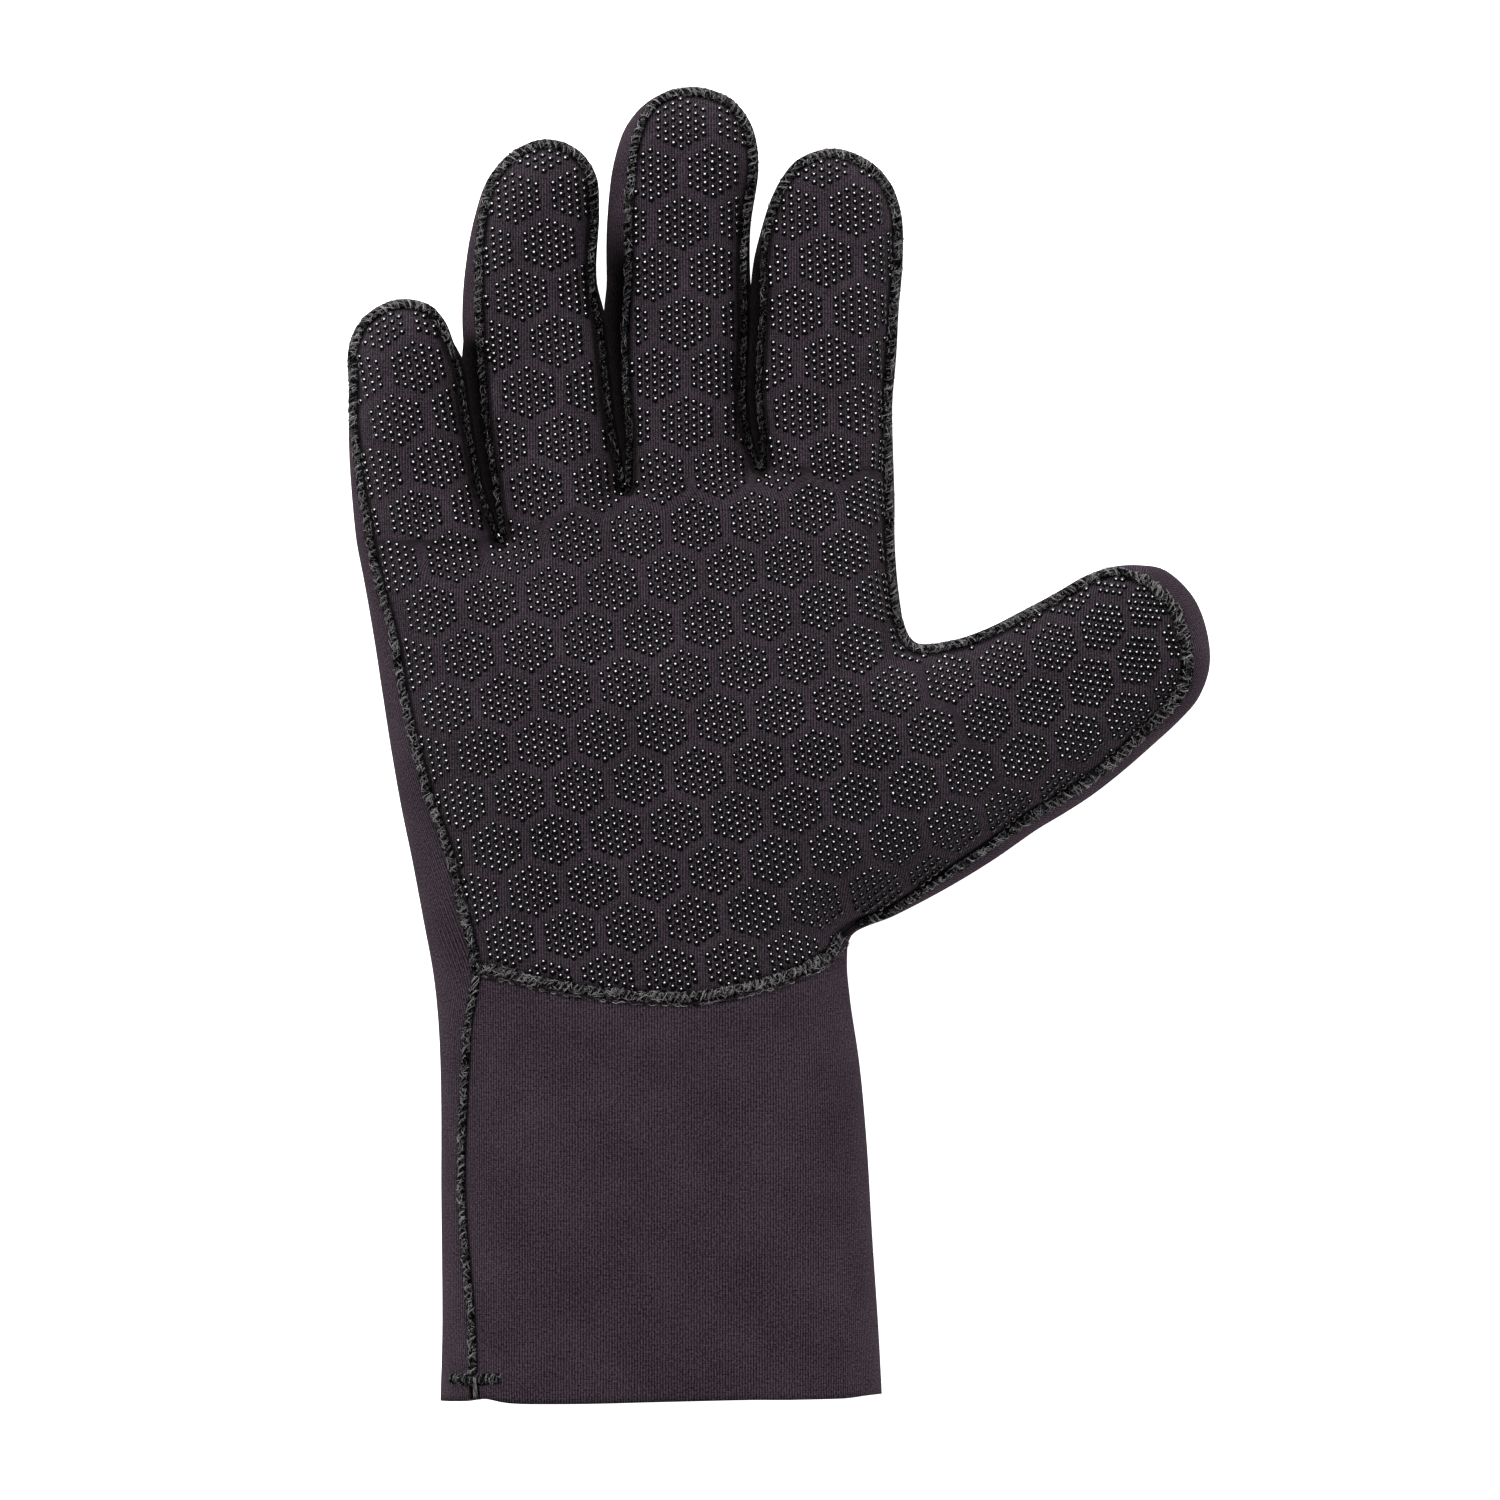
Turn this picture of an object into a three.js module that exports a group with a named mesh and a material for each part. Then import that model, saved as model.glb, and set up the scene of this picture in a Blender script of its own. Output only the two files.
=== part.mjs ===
// Long-cuffed diving glove of sponge rubber, lying on its back with the palm up.
// X runs to the thumb side, Y to the fingertips, Z up out of the palm. Millimetres.

import * as THREE from 'three';

// Plan sizes
const CUFF_LENGTH = 99.3;      // hem to the notch under the thumb
const CUFF_WIDTH = 94;         // across the flat hem
const PALM_LENGTH = 97;        // notch to the knuckle line
const LITTLE_WIDTH = 30.2;     // each finger's width where it leaves the palm
const RING_WIDTH = 26.6;
const MIDDLE_WIDTH = 28.5;
const INDEX_WIDTH = 28.9;
const THUMB_WIDTH = 47.7;
const LITTLE_LENGTH = 51.8;    // each finger's length from its own base to its tip
const RING_LENGTH = 79.5;
const MIDDLE_LENGTH = 82.8;
const INDEX_LENGTH = 67.5;
const THUMB_LENGTH = 54.5;
const CROTCH_RADIUS = 0.6;     // round of the slit between two fingers

// Heights
const CUFF_DEPTH = 43.5;
const PALM_DEPTH = 37;
const FINGER_DEPTH = 26;
const THUMB_DEPTH = 28;
const FINGER_LIFT = 11;        // tip of the middle finger above the ground
const THUMB_LIFT = 10;
const GROUND_SINK = 1.6;       // how far the round back is pressed flat where it lies
const MIDDLE_SHARE = 0.48;     // height of the widest line, as a share of the depth there

// Wall, seams and the clearance between pieces
const WALL = 3;
const GAP = 0.3;
const SEAM_EDGE = 0.4;         // least distance of a seam from the outline seen from above
const CROTCH_SEAM = 2.6;       // distance of the seam from the outline in a finger crotch
const WRIST_DROP = 10.3;       // how far the wrist seam bows towards the hem
const HEM_DROP = 2.2;          // how far the hem bows past a straight line
const PALM_SEAM_WIDTH = 2.6;
const CUFF_SEAM_WIDTH = 2;
const SEAM_HEIGHT = 0.9;
const TACK_LENGTH = 10;
const TACK_WIDTH = 1.8;
const TACK_FROM_HEM = 4.6;

// How finely the surface is divided
const CUFF_ROWS = 5;
const PALM_ROWS = 7;
const KNUCKLE_ROWS = 5;
const FINGER_ROWS = 9;
const THUMB_ROWS = 7;
const FINGER_COLUMNS = 6;
const RIM_COLUMNS = 2;
const OUTLINE_STEPS = 12;
const EDGE_REACH = 0.4;        // length of outline on either side that gives its direction
const SLOPE_REACH = 0.02;      // the same for the slope of the surface

// Lean of each finger from the Y axis, in degrees, towards the thumb
const LITTLE_LEAN = -4.3;
const RING_LEAN = -1.4;
const MIDDLE_LEAN = 1.7;
const INDEX_LEAN = 1.4;
const THUMB_LEAN = 57;

const KNUCKLE_WIDTH = LITTLE_WIDTH + RING_WIDTH + MIDDLE_WIDTH + INDEX_WIDTH;
const PROFILE_POWER = 2.2;     // 2 gives an elliptic side, more gives a fuller one

// Cuff edges. up: share of CUFF_LENGTH, out: share of half CUFF_WIDTH, seam: distance of the cuff
// seam from the left edge as a share of CUFF_WIDTH. mark names a corner of the sheets.
const CUFF_LEFT = [
  { up: 0.00, out: 0.985, seam: 0.076 },
  { up: 0.15, out: 0.977, seam: 0.067 },
  { up: 0.45, out: 0.982, seam: 0.046 },
  { up: 0.65, out: 0.983, seam: 0.052 },
  { up: 0.80, out: 0.994, seam: 0.067 },
  { up: 0.91, out: 1.018, seam: 0.098, mark: 'wrist left' },
];
const CUFF_RIGHT = [
  { up: 0.99, out: 0.872, mark: 'wrist right' },
  { up: 0.94, out: 0.850 },
  { up: 0.86, out: 0.862 },
  { up: 0.72, out: 0.905 },
  { up: 0.55, out: 0.938 },
  { up: 0.35, out: 0.963 },
  { up: 0.15, out: 0.991 },
  { up: 0.015, out: 1.006 },
];

// Hand edges. up: share of PALM_LENGTH above the notch, out: share of KNUCKLE_WIDTH from the
// middle of the cuff, seam: distance of the seam from the edge as a share of KNUCKLE_WIDTH.
const HAND_LEFT = [
  { up: 0.03, out: 0.438, seam: 0.077 },
  { up: 0.15, out: 0.457, seam: 0.071 },
  { up: 0.27, out: 0.478, seam: 0.057 },
  { up: 0.39, out: 0.496, seam: 0.047 },
  { up: 0.51, out: 0.512, seam: 0.040 },
  { up: 0.64, out: 0.529, seam: 0.037, mark: 'thumb row' },
  { up: 0.76, out: 0.547, seam: 0.028 },
  { up: 0.85, out: 0.562, seam: 0.026, mark: 'little base' },
];
const HAND_RIGHT = [
  { up: 1.02, out: 0.438, mark: 'index base' },
  { up: 0.94, out: 0.440 },
  { up: 0.86, out: 0.440 },
  { up: 0.78, out: 0.444 },
  { up: 0.72, out: 0.450 },
  { up: 0.68, out: 0.456 },
];
const THUMB_CROTCH = { up: 0.636, out: 0.476 };

// Edge from the thumb's base down to the notch. way: share of the straight line between them,
// bulge: distance outwards from that line as a share of THUMB_WIDTH.
const HEEL_EDGE = [
  { way: 0.25, bulge: 0.020 },
  { way: 0.50, bulge: 0.026 },
  { way: 0.78, bulge: 0.018 },
];

// Height of each finger crotch above the notch, as a share of PALM_LENGTH
const CROTCH_UP = [0.86, 0.972, 1.018];

// Finger sections. along: share of the finger's length, left and right: reach of each side from
// the finger's axis as a share of its half width, seamLeft and seamRight: distance of the palm
// seam from that side, as a share of the half width. Where a share is 0 the seam runs at SEAM_EDGE.
const LITTLE_ROWS = [
  { along: 0.08, left: 1.01, right: 0.90, seamLeft: 0.20, seamRight: 0.12 },
  { along: 0.20, left: 1.02, right: 0.80, seamLeft: 0.16, seamRight: 0 },
  { along: 0.35, left: 1.02, right: 0.74, seamLeft: 0.13, seamRight: 0 },
  { along: 0.50, left: 1.00, right: 0.69, seamLeft: 0.08, seamRight: 0 },
  { along: 0.65, left: 0.96, right: 0.66, seamLeft: 0, seamRight: 0 },
  { along: 0.80, left: 0.93, right: 0.59, seamLeft: 0, seamRight: 0 },
  { along: 0.90, left: 0.78, right: 0.48, seamLeft: 0, seamRight: 0 },
  { along: 0.97, left: 0.50, right: 0.27, seamLeft: 0, seamRight: 0 },
];
const RING_ROWS = [
  { along: 0.13, left: 1.25, right: 0.94, seamLeft: 0.18, seamRight: 0.12 },
  { along: 0.21, left: 1.33, right: 0.86, seamLeft: 0.20, seamRight: 0 },
  { along: 0.35, left: 1.44, right: 0.78, seamLeft: 0.25, seamRight: 0 },
  { along: 0.50, left: 1.51, right: 0.71, seamLeft: 0.28, seamRight: 0 },
  { along: 0.65, left: 1.45, right: 0.67, seamLeft: 0.23, seamRight: 0 },
  { along: 0.80, left: 1.27, right: 0.74, seamLeft: 0.14, seamRight: 0 },
  { along: 0.90, left: 1.04, right: 0.70, seamLeft: 0.07, seamRight: 0 },
  { along: 0.97, left: 0.63, right: 0.41, seamLeft: 0, seamRight: 0 },
];
const MIDDLE_ROWS = [
  { along: 0.08, left: 1.06, right: 0.87, seamLeft: 0.15, seamRight: 0.12 },
  { along: 0.20, left: 1.17, right: 0.75, seamLeft: 0.18, seamRight: 0 },
  { along: 0.35, left: 1.28, right: 0.75, seamLeft: 0.23, seamRight: 0 },
  { along: 0.50, left: 1.35, right: 0.75, seamLeft: 0.33, seamRight: 0 },
  { along: 0.65, left: 1.37, right: 0.79, seamLeft: 0.32, seamRight: 0 },
  { along: 0.80, left: 1.29, right: 0.88, seamLeft: 0.28, seamRight: 0 },
  { along: 0.90, left: 1.10, right: 0.77, seamLeft: 0.20, seamRight: 0 },
  { along: 0.97, left: 0.72, right: 0.45, seamLeft: 0.04, seamRight: 0 },
];
const INDEX_ROWS = [
  { along: 0.08, left: 1.07, right: 0.98, seamLeft: 0.17, seamRight: 0 },
  { along: 0.20, left: 1.15, right: 0.96, seamLeft: 0.14, seamRight: 0 },
  { along: 0.35, left: 1.16, right: 1.00, seamLeft: 0.15, seamRight: 0 },
  { along: 0.50, left: 1.13, right: 1.02, seamLeft: 0.15, seamRight: 0 },
  { along: 0.65, left: 1.12, right: 1.06, seamLeft: 0.12, seamRight: 0 },
  { along: 0.80, left: 0.98, right: 1.02, seamLeft: 0.07, seamRight: 0 },
  { along: 0.90, left: 0.78, right: 0.83, seamLeft: 0, seamRight: 0 },
  { along: 0.965, left: 0.52, right: 0.51, seamLeft: 0, seamRight: 0 },
];
const THUMB_SECTIONS = [
  { along: 0.12, left: 0.84, right: 1.01, seamLeft: 0, seamRight: 0.13 },
  { along: 0.25, left: 0.76, right: 1.01, seamLeft: 0, seamRight: 0.13 },
  { along: 0.40, left: 0.72, right: 0.98, seamLeft: 0, seamRight: 0.13 },
  { along: 0.55, left: 0.69, right: 0.93, seamLeft: 0, seamRight: 0.14 },
  { along: 0.70, left: 0.67, right: 0.87, seamLeft: 0, seamRight: 0.15 },
  { along: 0.80, left: 0.61, right: 0.80, seamLeft: 0.03, seamRight: 0.17 },
  { along: 0.90, left: 0.47, right: 0.63, seamLeft: 0.13, seamRight: 0.20 },
  { along: 0.965, left: 0.32, right: 0.38, seamLeft: 0.20, seamRight: 0.22 },
];

// Wrist seam and hem. across: share of the way from left to right, drop: share of the named drop.
const WRIST_CURVE = [
  { across: 0, drop: 0 },
  { across: 0.06, drop: 0.10 },
  { across: 0.18, drop: 0.41 },
  { across: 0.30, drop: 0.67 },
  { across: 0.45, drop: 0.88 },
  { across: 0.60, drop: 1 },
  { across: 0.74, drop: 0.90 },
  { across: 0.86, drop: 0.70 },
  { across: 0.95, drop: 0.42 },
  { across: 1, drop: 0 },
];
const HEM_CURVE = [
  { across: 0, drop: 0 },
  { across: 0.10, drop: -0.18 },
  { across: 0.20, drop: 0.20 },
  { across: 0.40, drop: 0.48 },
  { across: 0.80, drop: 0.86 },
  { across: 0.94, drop: 0.50 },
  { across: 1, drop: 0 },
];

// Height stations up the hand. level: 0 hem, 1 notch, 2 knuckles, 3 middle fingertip.
// depth: thickness from back to palm, lift: underside above the ground,
// side: width over which the surface rounds from the outline to its full height.
const HAND_STATIONS = [
  { level: 0.0, depth: CUFF_DEPTH, lift: 0, side: 0.40 * CUFF_WIDTH },
  { level: 0.5, depth: 0.6 * CUFF_DEPTH + 0.4 * PALM_DEPTH, lift: 0, side: 0.39 * CUFF_WIDTH },
  { level: 1.0, depth: PALM_DEPTH, lift: 0, side: 0.35 * CUFF_WIDTH },
  { level: 1.4, depth: 1.03 * PALM_DEPTH, lift: 0, side: 0.25 * KNUCKLE_WIDTH },
  { level: 1.7, depth: 0.92 * PALM_DEPTH, lift: 0, side: 0.175 * KNUCKLE_WIDTH },
  { level: 1.95, depth: 1.12 * FINGER_DEPTH, lift: 0.03 * FINGER_LIFT, side: 0.122 * KNUCKLE_WIDTH },
  { level: 2.3, depth: FINGER_DEPTH, lift: 0.25 * FINGER_LIFT, side: 0.115 * KNUCKLE_WIDTH },
  { level: 2.6, depth: 0.95 * FINGER_DEPTH, lift: 0.55 * FINGER_LIFT, side: 0.115 * KNUCKLE_WIDTH },
  { level: 3.0, depth: 0.86 * FINGER_DEPTH, lift: FINGER_LIFT, side: 0.115 * KNUCKLE_WIDTH },
];
const THUMB_STATIONS = [
  { level: -0.6, depth: PALM_DEPTH, lift: 0, side: 0.50 * THUMB_WIDTH },
  { level: 0.0, depth: (PALM_DEPTH + THUMB_DEPTH) / 2, lift: 0.08 * THUMB_LIFT, side: 0.40 * THUMB_WIDTH },
  { level: 0.5, depth: THUMB_DEPTH, lift: 0.40 * THUMB_LIFT, side: 0.34 * THUMB_WIDTH },
  { level: 1.0, depth: 0.88 * THUMB_DEPTH, lift: THUMB_LIFT, side: 0.32 * THUMB_WIDTH },
];

const lerp = (a, b, t) => a + (b - a) * t;

const clamp01 = (t) => Math.min(1, Math.max(0, t));

function ease(t) {
  const s = clamp01(t);
  return s * s * (3 - 2 * s);
}

// Value of one column of a table at a place between its rows, along a smooth curve that never
// overshoots a row.
function tableValue(rows, place, at, column) {
  const last = rows.length - 1;
  if (at <= rows[0][place]) return rows[0][column];
  if (at >= rows[last][place]) return rows[last][column];
  const i = rows.findIndex((row, k) => k < last && at < rows[k + 1][place]);
  const rise = (k) => (rows[k + 1][column] - rows[k][column]) / (rows[k + 1][place] - rows[k][place]);
  const slope = (k) => {
    if (k === 0 || k === last) return 0;
    const before = rise(k - 1);
    const after = rise(k);
    return before * after > 0 ? 2 * before * after / (before + after) : 0;
  };
  const span = rows[i + 1][place] - rows[i][place];
  const t = (at - rows[i][place]) / span;
  const a = rows[i][column];
  const b = rows[i + 1][column];
  return lerp(a, b, t * t * (3 - 2 * t))
    + span * t * (1 - t) * ((1 - t) * slope(i) - t * slope(i + 1));
}

// A finger's own axes: base middle, direction along it and direction across to the thumb side
function fingerAxes(base, leanDegrees) {
  const lean = THREE.MathUtils.degToRad(leanDegrees);
  return {
    base,
    along: new THREE.Vector2(Math.sin(lean), Math.cos(lean)),
    across: new THREE.Vector2(Math.cos(lean), -Math.sin(lean)),
  };
}

// Outline seen from above, from the hem's left end round the fingers to its right end. Each point's
// z holds the distance from the outline to the seam there.
const outlinePoints = [];
const marks = {};

function addPoint(x, y, seam, mark) {
  outlinePoints.push(new THREE.Vector3(x, y, Math.max(seam, SEAM_EDGE)));
  if (mark) marks[mark] = outlinePoints.length - 1;
}

function addFinger(name, axes, width, length, rows, rightBase) {
  const half = width / 2;
  const place = (out, along, seam, mark) => addPoint(
    axes.base.x + axes.across.x * out + axes.along.x * along,
    axes.base.y + axes.across.y * out + axes.along.y * along,
    seam,
    mark,
  );
  const shoulder = rows[rows.length - 2];
  for (const row of rows) {
    place(-row.left * half, row.along * length, row.seamLeft * half, row === shoulder && `${name} left`);
  }
  const end = rows[rows.length - 1];
  place((end.right - end.left) / 2 * half, length, (end.seamLeft + end.seamRight) / 2 * half);
  for (const row of [...rows].reverse()) {
    place(row.right * half, row.along * length, row.seamRight * half, row === shoulder && `${name} right`);
  }
  if (rightBase) place(half, 0, rows[0].seamRight * half, `${name} base`);
}

function addCrotch(point, name) {
  addPoint(point.x - CROTCH_RADIUS, point.y + CROTCH_RADIUS, CROTCH_SEAM);
  addPoint(point.x, point.y, CROTCH_SEAM, name);
  addPoint(point.x + CROTCH_RADIUS, point.y + CROTCH_RADIUS, CROTCH_SEAM);
}

const palmY = (up) => CUFF_LENGTH + up * PALM_LENGTH;
const knuckleLeft = -HAND_LEFT[HAND_LEFT.length - 1].out * KNUCKLE_WIDTH;
const crotches = [LITTLE_WIDTH, LITTLE_WIDTH + RING_WIDTH, LITTLE_WIDTH + RING_WIDTH + MIDDLE_WIDTH]
  .map((x, k) => new THREE.Vector2(knuckleLeft + x, palmY(CROTCH_UP[k])));
const littleBase = new THREE.Vector2(knuckleLeft, palmY(HAND_LEFT[HAND_LEFT.length - 1].up));
const indexBase = new THREE.Vector2(knuckleLeft + KNUCKLE_WIDTH, palmY(HAND_RIGHT[0].up));
const thumbCrotch = new THREE.Vector2(THUMB_CROTCH.out * KNUCKLE_WIDTH, palmY(THUMB_CROTCH.up));
const middleOf = (a, b) => new THREE.Vector2().addVectors(a, b).multiplyScalar(0.5);

const littleAxes = fingerAxes(middleOf(littleBase, crotches[0]), LITTLE_LEAN);
const ringAxes = fingerAxes(middleOf(crotches[0], crotches[1]), RING_LEAN);
const middleAxes = fingerAxes(middleOf(crotches[1], crotches[2]), MIDDLE_LEAN);
const indexAxes = fingerAxes(middleOf(crotches[2], indexBase), INDEX_LEAN);
const thumbAxes = fingerAxes(thumbCrotch.clone(), THUMB_LEAN);
thumbAxes.base.addScaledVector(thumbAxes.across, THUMB_WIDTH / 2);

for (const row of CUFF_LEFT) {
  addPoint(-row.out * CUFF_WIDTH / 2, row.up * CUFF_LENGTH, row.seam * CUFF_WIDTH, row.mark);
}
for (const row of HAND_LEFT) {
  addPoint(-row.out * KNUCKLE_WIDTH, palmY(row.up), row.seam * KNUCKLE_WIDTH, row.mark);
}
marks['hem left'] = 0;
addFinger('little', littleAxes, LITTLE_WIDTH, LITTLE_LENGTH, LITTLE_ROWS);
addCrotch(crotches[0], 'crotch 1');
addFinger('ring', ringAxes, RING_WIDTH, RING_LENGTH, RING_ROWS);
addCrotch(crotches[1], 'crotch 2');
addFinger('middle', middleAxes, MIDDLE_WIDTH, MIDDLE_LENGTH, MIDDLE_ROWS);
addCrotch(crotches[2], 'crotch 3');
addFinger('index', indexAxes, INDEX_WIDTH, INDEX_LENGTH, INDEX_ROWS);
for (const row of HAND_RIGHT) {
  addPoint(row.out * KNUCKLE_WIDTH, palmY(row.up), 0, row.mark);
}
addPoint(thumbCrotch.x, thumbCrotch.y, 0, 'thumb crotch');
addFinger('thumb', thumbAxes, THUMB_WIDTH, THUMB_LENGTH, THUMB_SECTIONS, true);
const heel = outlinePoints[marks['thumb base']];
const notchX = CUFF_RIGHT[0].out * CUFF_WIDTH / 2;
const notchY = CUFF_RIGHT[0].up * CUFF_LENGTH;
const heelRun = Math.hypot(heel.x - notchX, heel.y - notchY);
for (const row of HEEL_EDGE) {
  const bulge = row.bulge * THUMB_WIDTH / heelRun;
  addPoint(
    lerp(heel.x, notchX, row.way) + (heel.y - notchY) * bulge,
    lerp(heel.y, notchY, row.way) - (heel.x - notchX) * bulge,
    lerp(heel.z, 0, row.way),
  );
}
for (const row of CUFF_RIGHT) {
  addPoint(row.out * CUFF_WIDTH / 2, row.up * CUFF_LENGTH, 0, row.mark);
}
marks['hem right'] = outlinePoints.length - 1;

// The smooth outline as a fine polyline, with the length run so far
const outlineCurve = new THREE.CatmullRomCurve3(outlinePoints, false, 'centripetal');
const outlineCount = (outlinePoints.length - 1) * OUTLINE_STEPS;
const outline = outlineCurve.getPoints(outlineCount);
const run = [0];
for (let i = 1; i <= outlineCount; i += 1) {
  run.push(run[i - 1] + Math.hypot(outline[i].x - outline[i - 1].x, outline[i].y - outline[i - 1].y));
}

function outlineAt(distance) {
  let i = 1;
  while (i < outlineCount && run[i] < distance) i += 1;
  const t = clamp01((distance - run[i - 1]) / (run[i] - run[i - 1]));
  return outline[i - 1].clone().lerp(outline[i], t);
}

// Nearest outline point: its distance and the direction from it to the given place
function nearest(x, y) {
  let best = Infinity;
  let bestX = 0;
  let bestY = 0;
  for (let i = 1; i <= outlineCount; i += 1) {
    const a = outline[i - 1];
    const dx = outline[i].x - a.x;
    const dy = outline[i].y - a.y;
    const t = clamp01(((x - a.x) * dx + (y - a.y) * dy) / (dx * dx + dy * dy));
    const px = a.x + dx * t;
    const py = a.y + dy * t;
    const square = (x - px) ** 2 + (y - py) ** 2;
    if (square < best) {
      best = square;
      bestX = px;
      bestY = py;
    }
  }
  const distance = Math.sqrt(best);
  return { distance, inX: (x - bestX) / (distance || 1), inY: (y - bestY) / (distance || 1) };
}

// Level up the hand: 0 hem, 1 notch, 2 knuckles, 3 middle fingertip
function levelAt(y) {
  if (y < CUFF_LENGTH) return y / CUFF_LENGTH;
  if (y < CUFF_LENGTH + PALM_LENGTH) return 1 + (y - CUFF_LENGTH) / PALM_LENGTH;
  return 2 + (y - CUFF_LENGTH - PALM_LENGTH) / MIDDLE_LENGTH;
}

// Depth, lift and side width at a place, blended from the hand into the thumb
function sizesAt(x, y) {
  const level = levelAt(y);
  const along = (x - thumbAxes.base.x) * thumbAxes.along.x + (y - thumbAxes.base.y) * thumbAxes.along.y;
  const across = (x - thumbAxes.base.x) * thumbAxes.across.x + (y - thumbAxes.base.y) * thumbAxes.across.y;
  const half = THUMB_WIDTH / 2;
  const thumb = ease((along + 1.1 * half) / (1.6 * half)) * ease((across + 2 * half) / half);
  const pick = (column) => lerp(
    tableValue(HAND_STATIONS, 'level', level, column),
    tableValue(THUMB_STATIONS, 'level', along / THUMB_LENGTH, column),
    thumb,
  );
  return { depth: pick('depth'), lift: pick('lift'), side: pick('side') };
}

// Share of the full height reached at a share of the side width
const profile = (share) => (1 - (1 - Math.min(1, share)) ** PROFILE_POWER) ** (1 / PROFILE_POWER);

// Keeps a height above a floor, with a soft bend over the given band
function restOn(floor, height, band) {
  const over = height - floor;
  if (over >= band) return height;
  if (over <= -band) return floor;
  return floor + (over + band) ** 2 / (4 * band);
}

// Outer and inner point of the wall over a place. side: 1 palm side, -1 back side.
// A place on a sheet's edge brings its own distance from the outline and way in.
function wallAt(x, y, side, known) {
  const near = known ?? nearest(x, y);
  const sizes = sizesAt(x, y);
  const middle = sizes.lift + MIDDLE_SHARE * sizes.depth;
  const reach = side > 0 ? (1 - MIDDLE_SHARE) * sizes.depth : MIDDLE_SHARE * sizes.depth + GROUND_SINK;
  const share = Math.min(1, near.distance / sizes.side);
  const rise = profile(share);
  const shift = WALL * (1 - share);
  const outer = middle + side * reach * rise;
  const inner = middle + side * (reach - WALL) * rise;
  return {
    outer: [x, y, side > 0 ? outer : restOn(0, outer, GROUND_SINK)],
    inner: [
      x + near.inX * shift,
      y + near.inY * shift,
      side > 0 ? inner : restOn(WALL, inner, GROUND_SINK),
    ],
  };
}

// Shares of the way along a row of cells, even or crowded at one or both ends
const even = (n) => Array.from({ length: n + 1 }, (_, i) => i / n);
const crowdStart = (n) => even(n).map((t) => lerp(t, 1 - Math.cos(t * Math.PI / 2), 0.75));
const crowdEnd = (n) => even(n).map((t) => lerp(t, Math.sin(t * Math.PI / 2), 0.8));
const crowdBoth = (n) => even(n).map((t) => lerp(t, (1 - Math.cos(t * Math.PI)) / 2, 0.75));
const reversed = (shares) => shares.map((t) => 1 - t).reverse();

// The outline cut into stretches between marks. Every stretch has the cells of the sheet's rows or
// columns that end on it.
const STRETCHES = [
  { name: 'cuff left', from: 'hem left', to: 'wrist left', shares: even(CUFF_ROWS) },
  { name: 'palm left', from: 'wrist left', to: 'thumb row', shares: crowdStart(PALM_ROWS) },
  { name: 'knuckle left', from: 'thumb row', to: 'little base', shares: crowdEnd(KNUCKLE_ROWS) },
  { name: 'little up', from: 'little base', to: 'little left', shares: crowdBoth(FINGER_ROWS) },
  { name: 'little tip', from: 'little left', to: 'little right', shares: even(FINGER_COLUMNS) },
  { name: 'little down', from: 'little right', to: 'crotch 1', shares: crowdBoth(FINGER_ROWS) },
  { name: 'ring up', from: 'crotch 1', to: 'ring left', shares: crowdBoth(FINGER_ROWS) },
  { name: 'ring tip', from: 'ring left', to: 'ring right', shares: even(FINGER_COLUMNS) },
  { name: 'ring down', from: 'ring right', to: 'crotch 2', shares: crowdBoth(FINGER_ROWS) },
  { name: 'middle up', from: 'crotch 2', to: 'middle left', shares: crowdBoth(FINGER_ROWS) },
  { name: 'middle tip', from: 'middle left', to: 'middle right', shares: even(FINGER_COLUMNS) },
  { name: 'middle down', from: 'middle right', to: 'crotch 3', shares: crowdBoth(FINGER_ROWS) },
  { name: 'index up', from: 'crotch 3', to: 'index left', shares: crowdBoth(FINGER_ROWS) },
  { name: 'index tip', from: 'index left', to: 'index right', shares: even(FINGER_COLUMNS) },
  { name: 'index down', from: 'index right', to: 'index base', shares: crowdBoth(FINGER_ROWS) },
  { name: 'knuckle right', from: 'index base', to: 'thumb crotch', shares: reversed(crowdEnd(KNUCKLE_ROWS)) },
  { name: 'thumb up', from: 'thumb crotch', to: 'thumb left', shares: crowdBoth(THUMB_ROWS) },
  { name: 'thumb tip', from: 'thumb left', to: 'thumb right', shares: even(FINGER_COLUMNS) },
  { name: 'thumb down', from: 'thumb right', to: 'thumb base', shares: crowdBoth(THUMB_ROWS) },
  { name: 'palm right', from: 'thumb base', to: 'wrist right', shares: reversed(crowdStart(PALM_ROWS)) },
  { name: 'cuff right', from: 'wrist right', to: 'hem right', shares: even(CUFF_ROWS) },
];

// Rim points: the outline's own points at the cell ends, each with the way in and the seam distance
const rim = [];
const rimRange = {};
for (const stretch of STRETCHES) {
  const start = run[marks[stretch.from] * OUTLINE_STEPS];
  const end = run[marks[stretch.to] * OUTLINE_STEPS];
  const first = rim.length ? rim.length - 1 : 0;
  for (const share of rim.length ? stretch.shares.slice(1) : stretch.shares) {
    const distance = lerp(start, end, share);
    const point = outlineAt(distance);
    const before = outlineAt(distance - EDGE_REACH);
    const after = outlineAt(distance + EDGE_REACH);
    const inward = new THREE.Vector2(after.y - before.y, before.x - after.x).normalize();
    rim.push({ x: point.x, y: point.y, seam: point.z, inward });
  }
  rimRange[stretch.name] = [first, rim.length - 1];
}

// Point at a distance in from the outline. shift moves it over the surface, so that a gap keeps
// its width where the surface is steep.
function inFrom(point, distance, shift) {
  const steep = profile(distance / sizesAt(point.x, point.y).side);
  const way = distance + shift * steep;
  const known = { distance: way, inX: point.inward.x, inY: point.inward.y };
  return [point.x + point.inward.x * way, point.y + point.inward.y * way, known];
}

// The two kinds of sheet edge: on the outline itself, or at the seam with a shift
const onOutline = (point) => inFrom(point, 0, 0);
const atSeam = (shift) => (point) => inFrom(point, point.seam, shift);

function side(name, edge) {
  const [first, last] = rimRange[name];
  return rim.slice(first, last + 1).map(edge);
}

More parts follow.
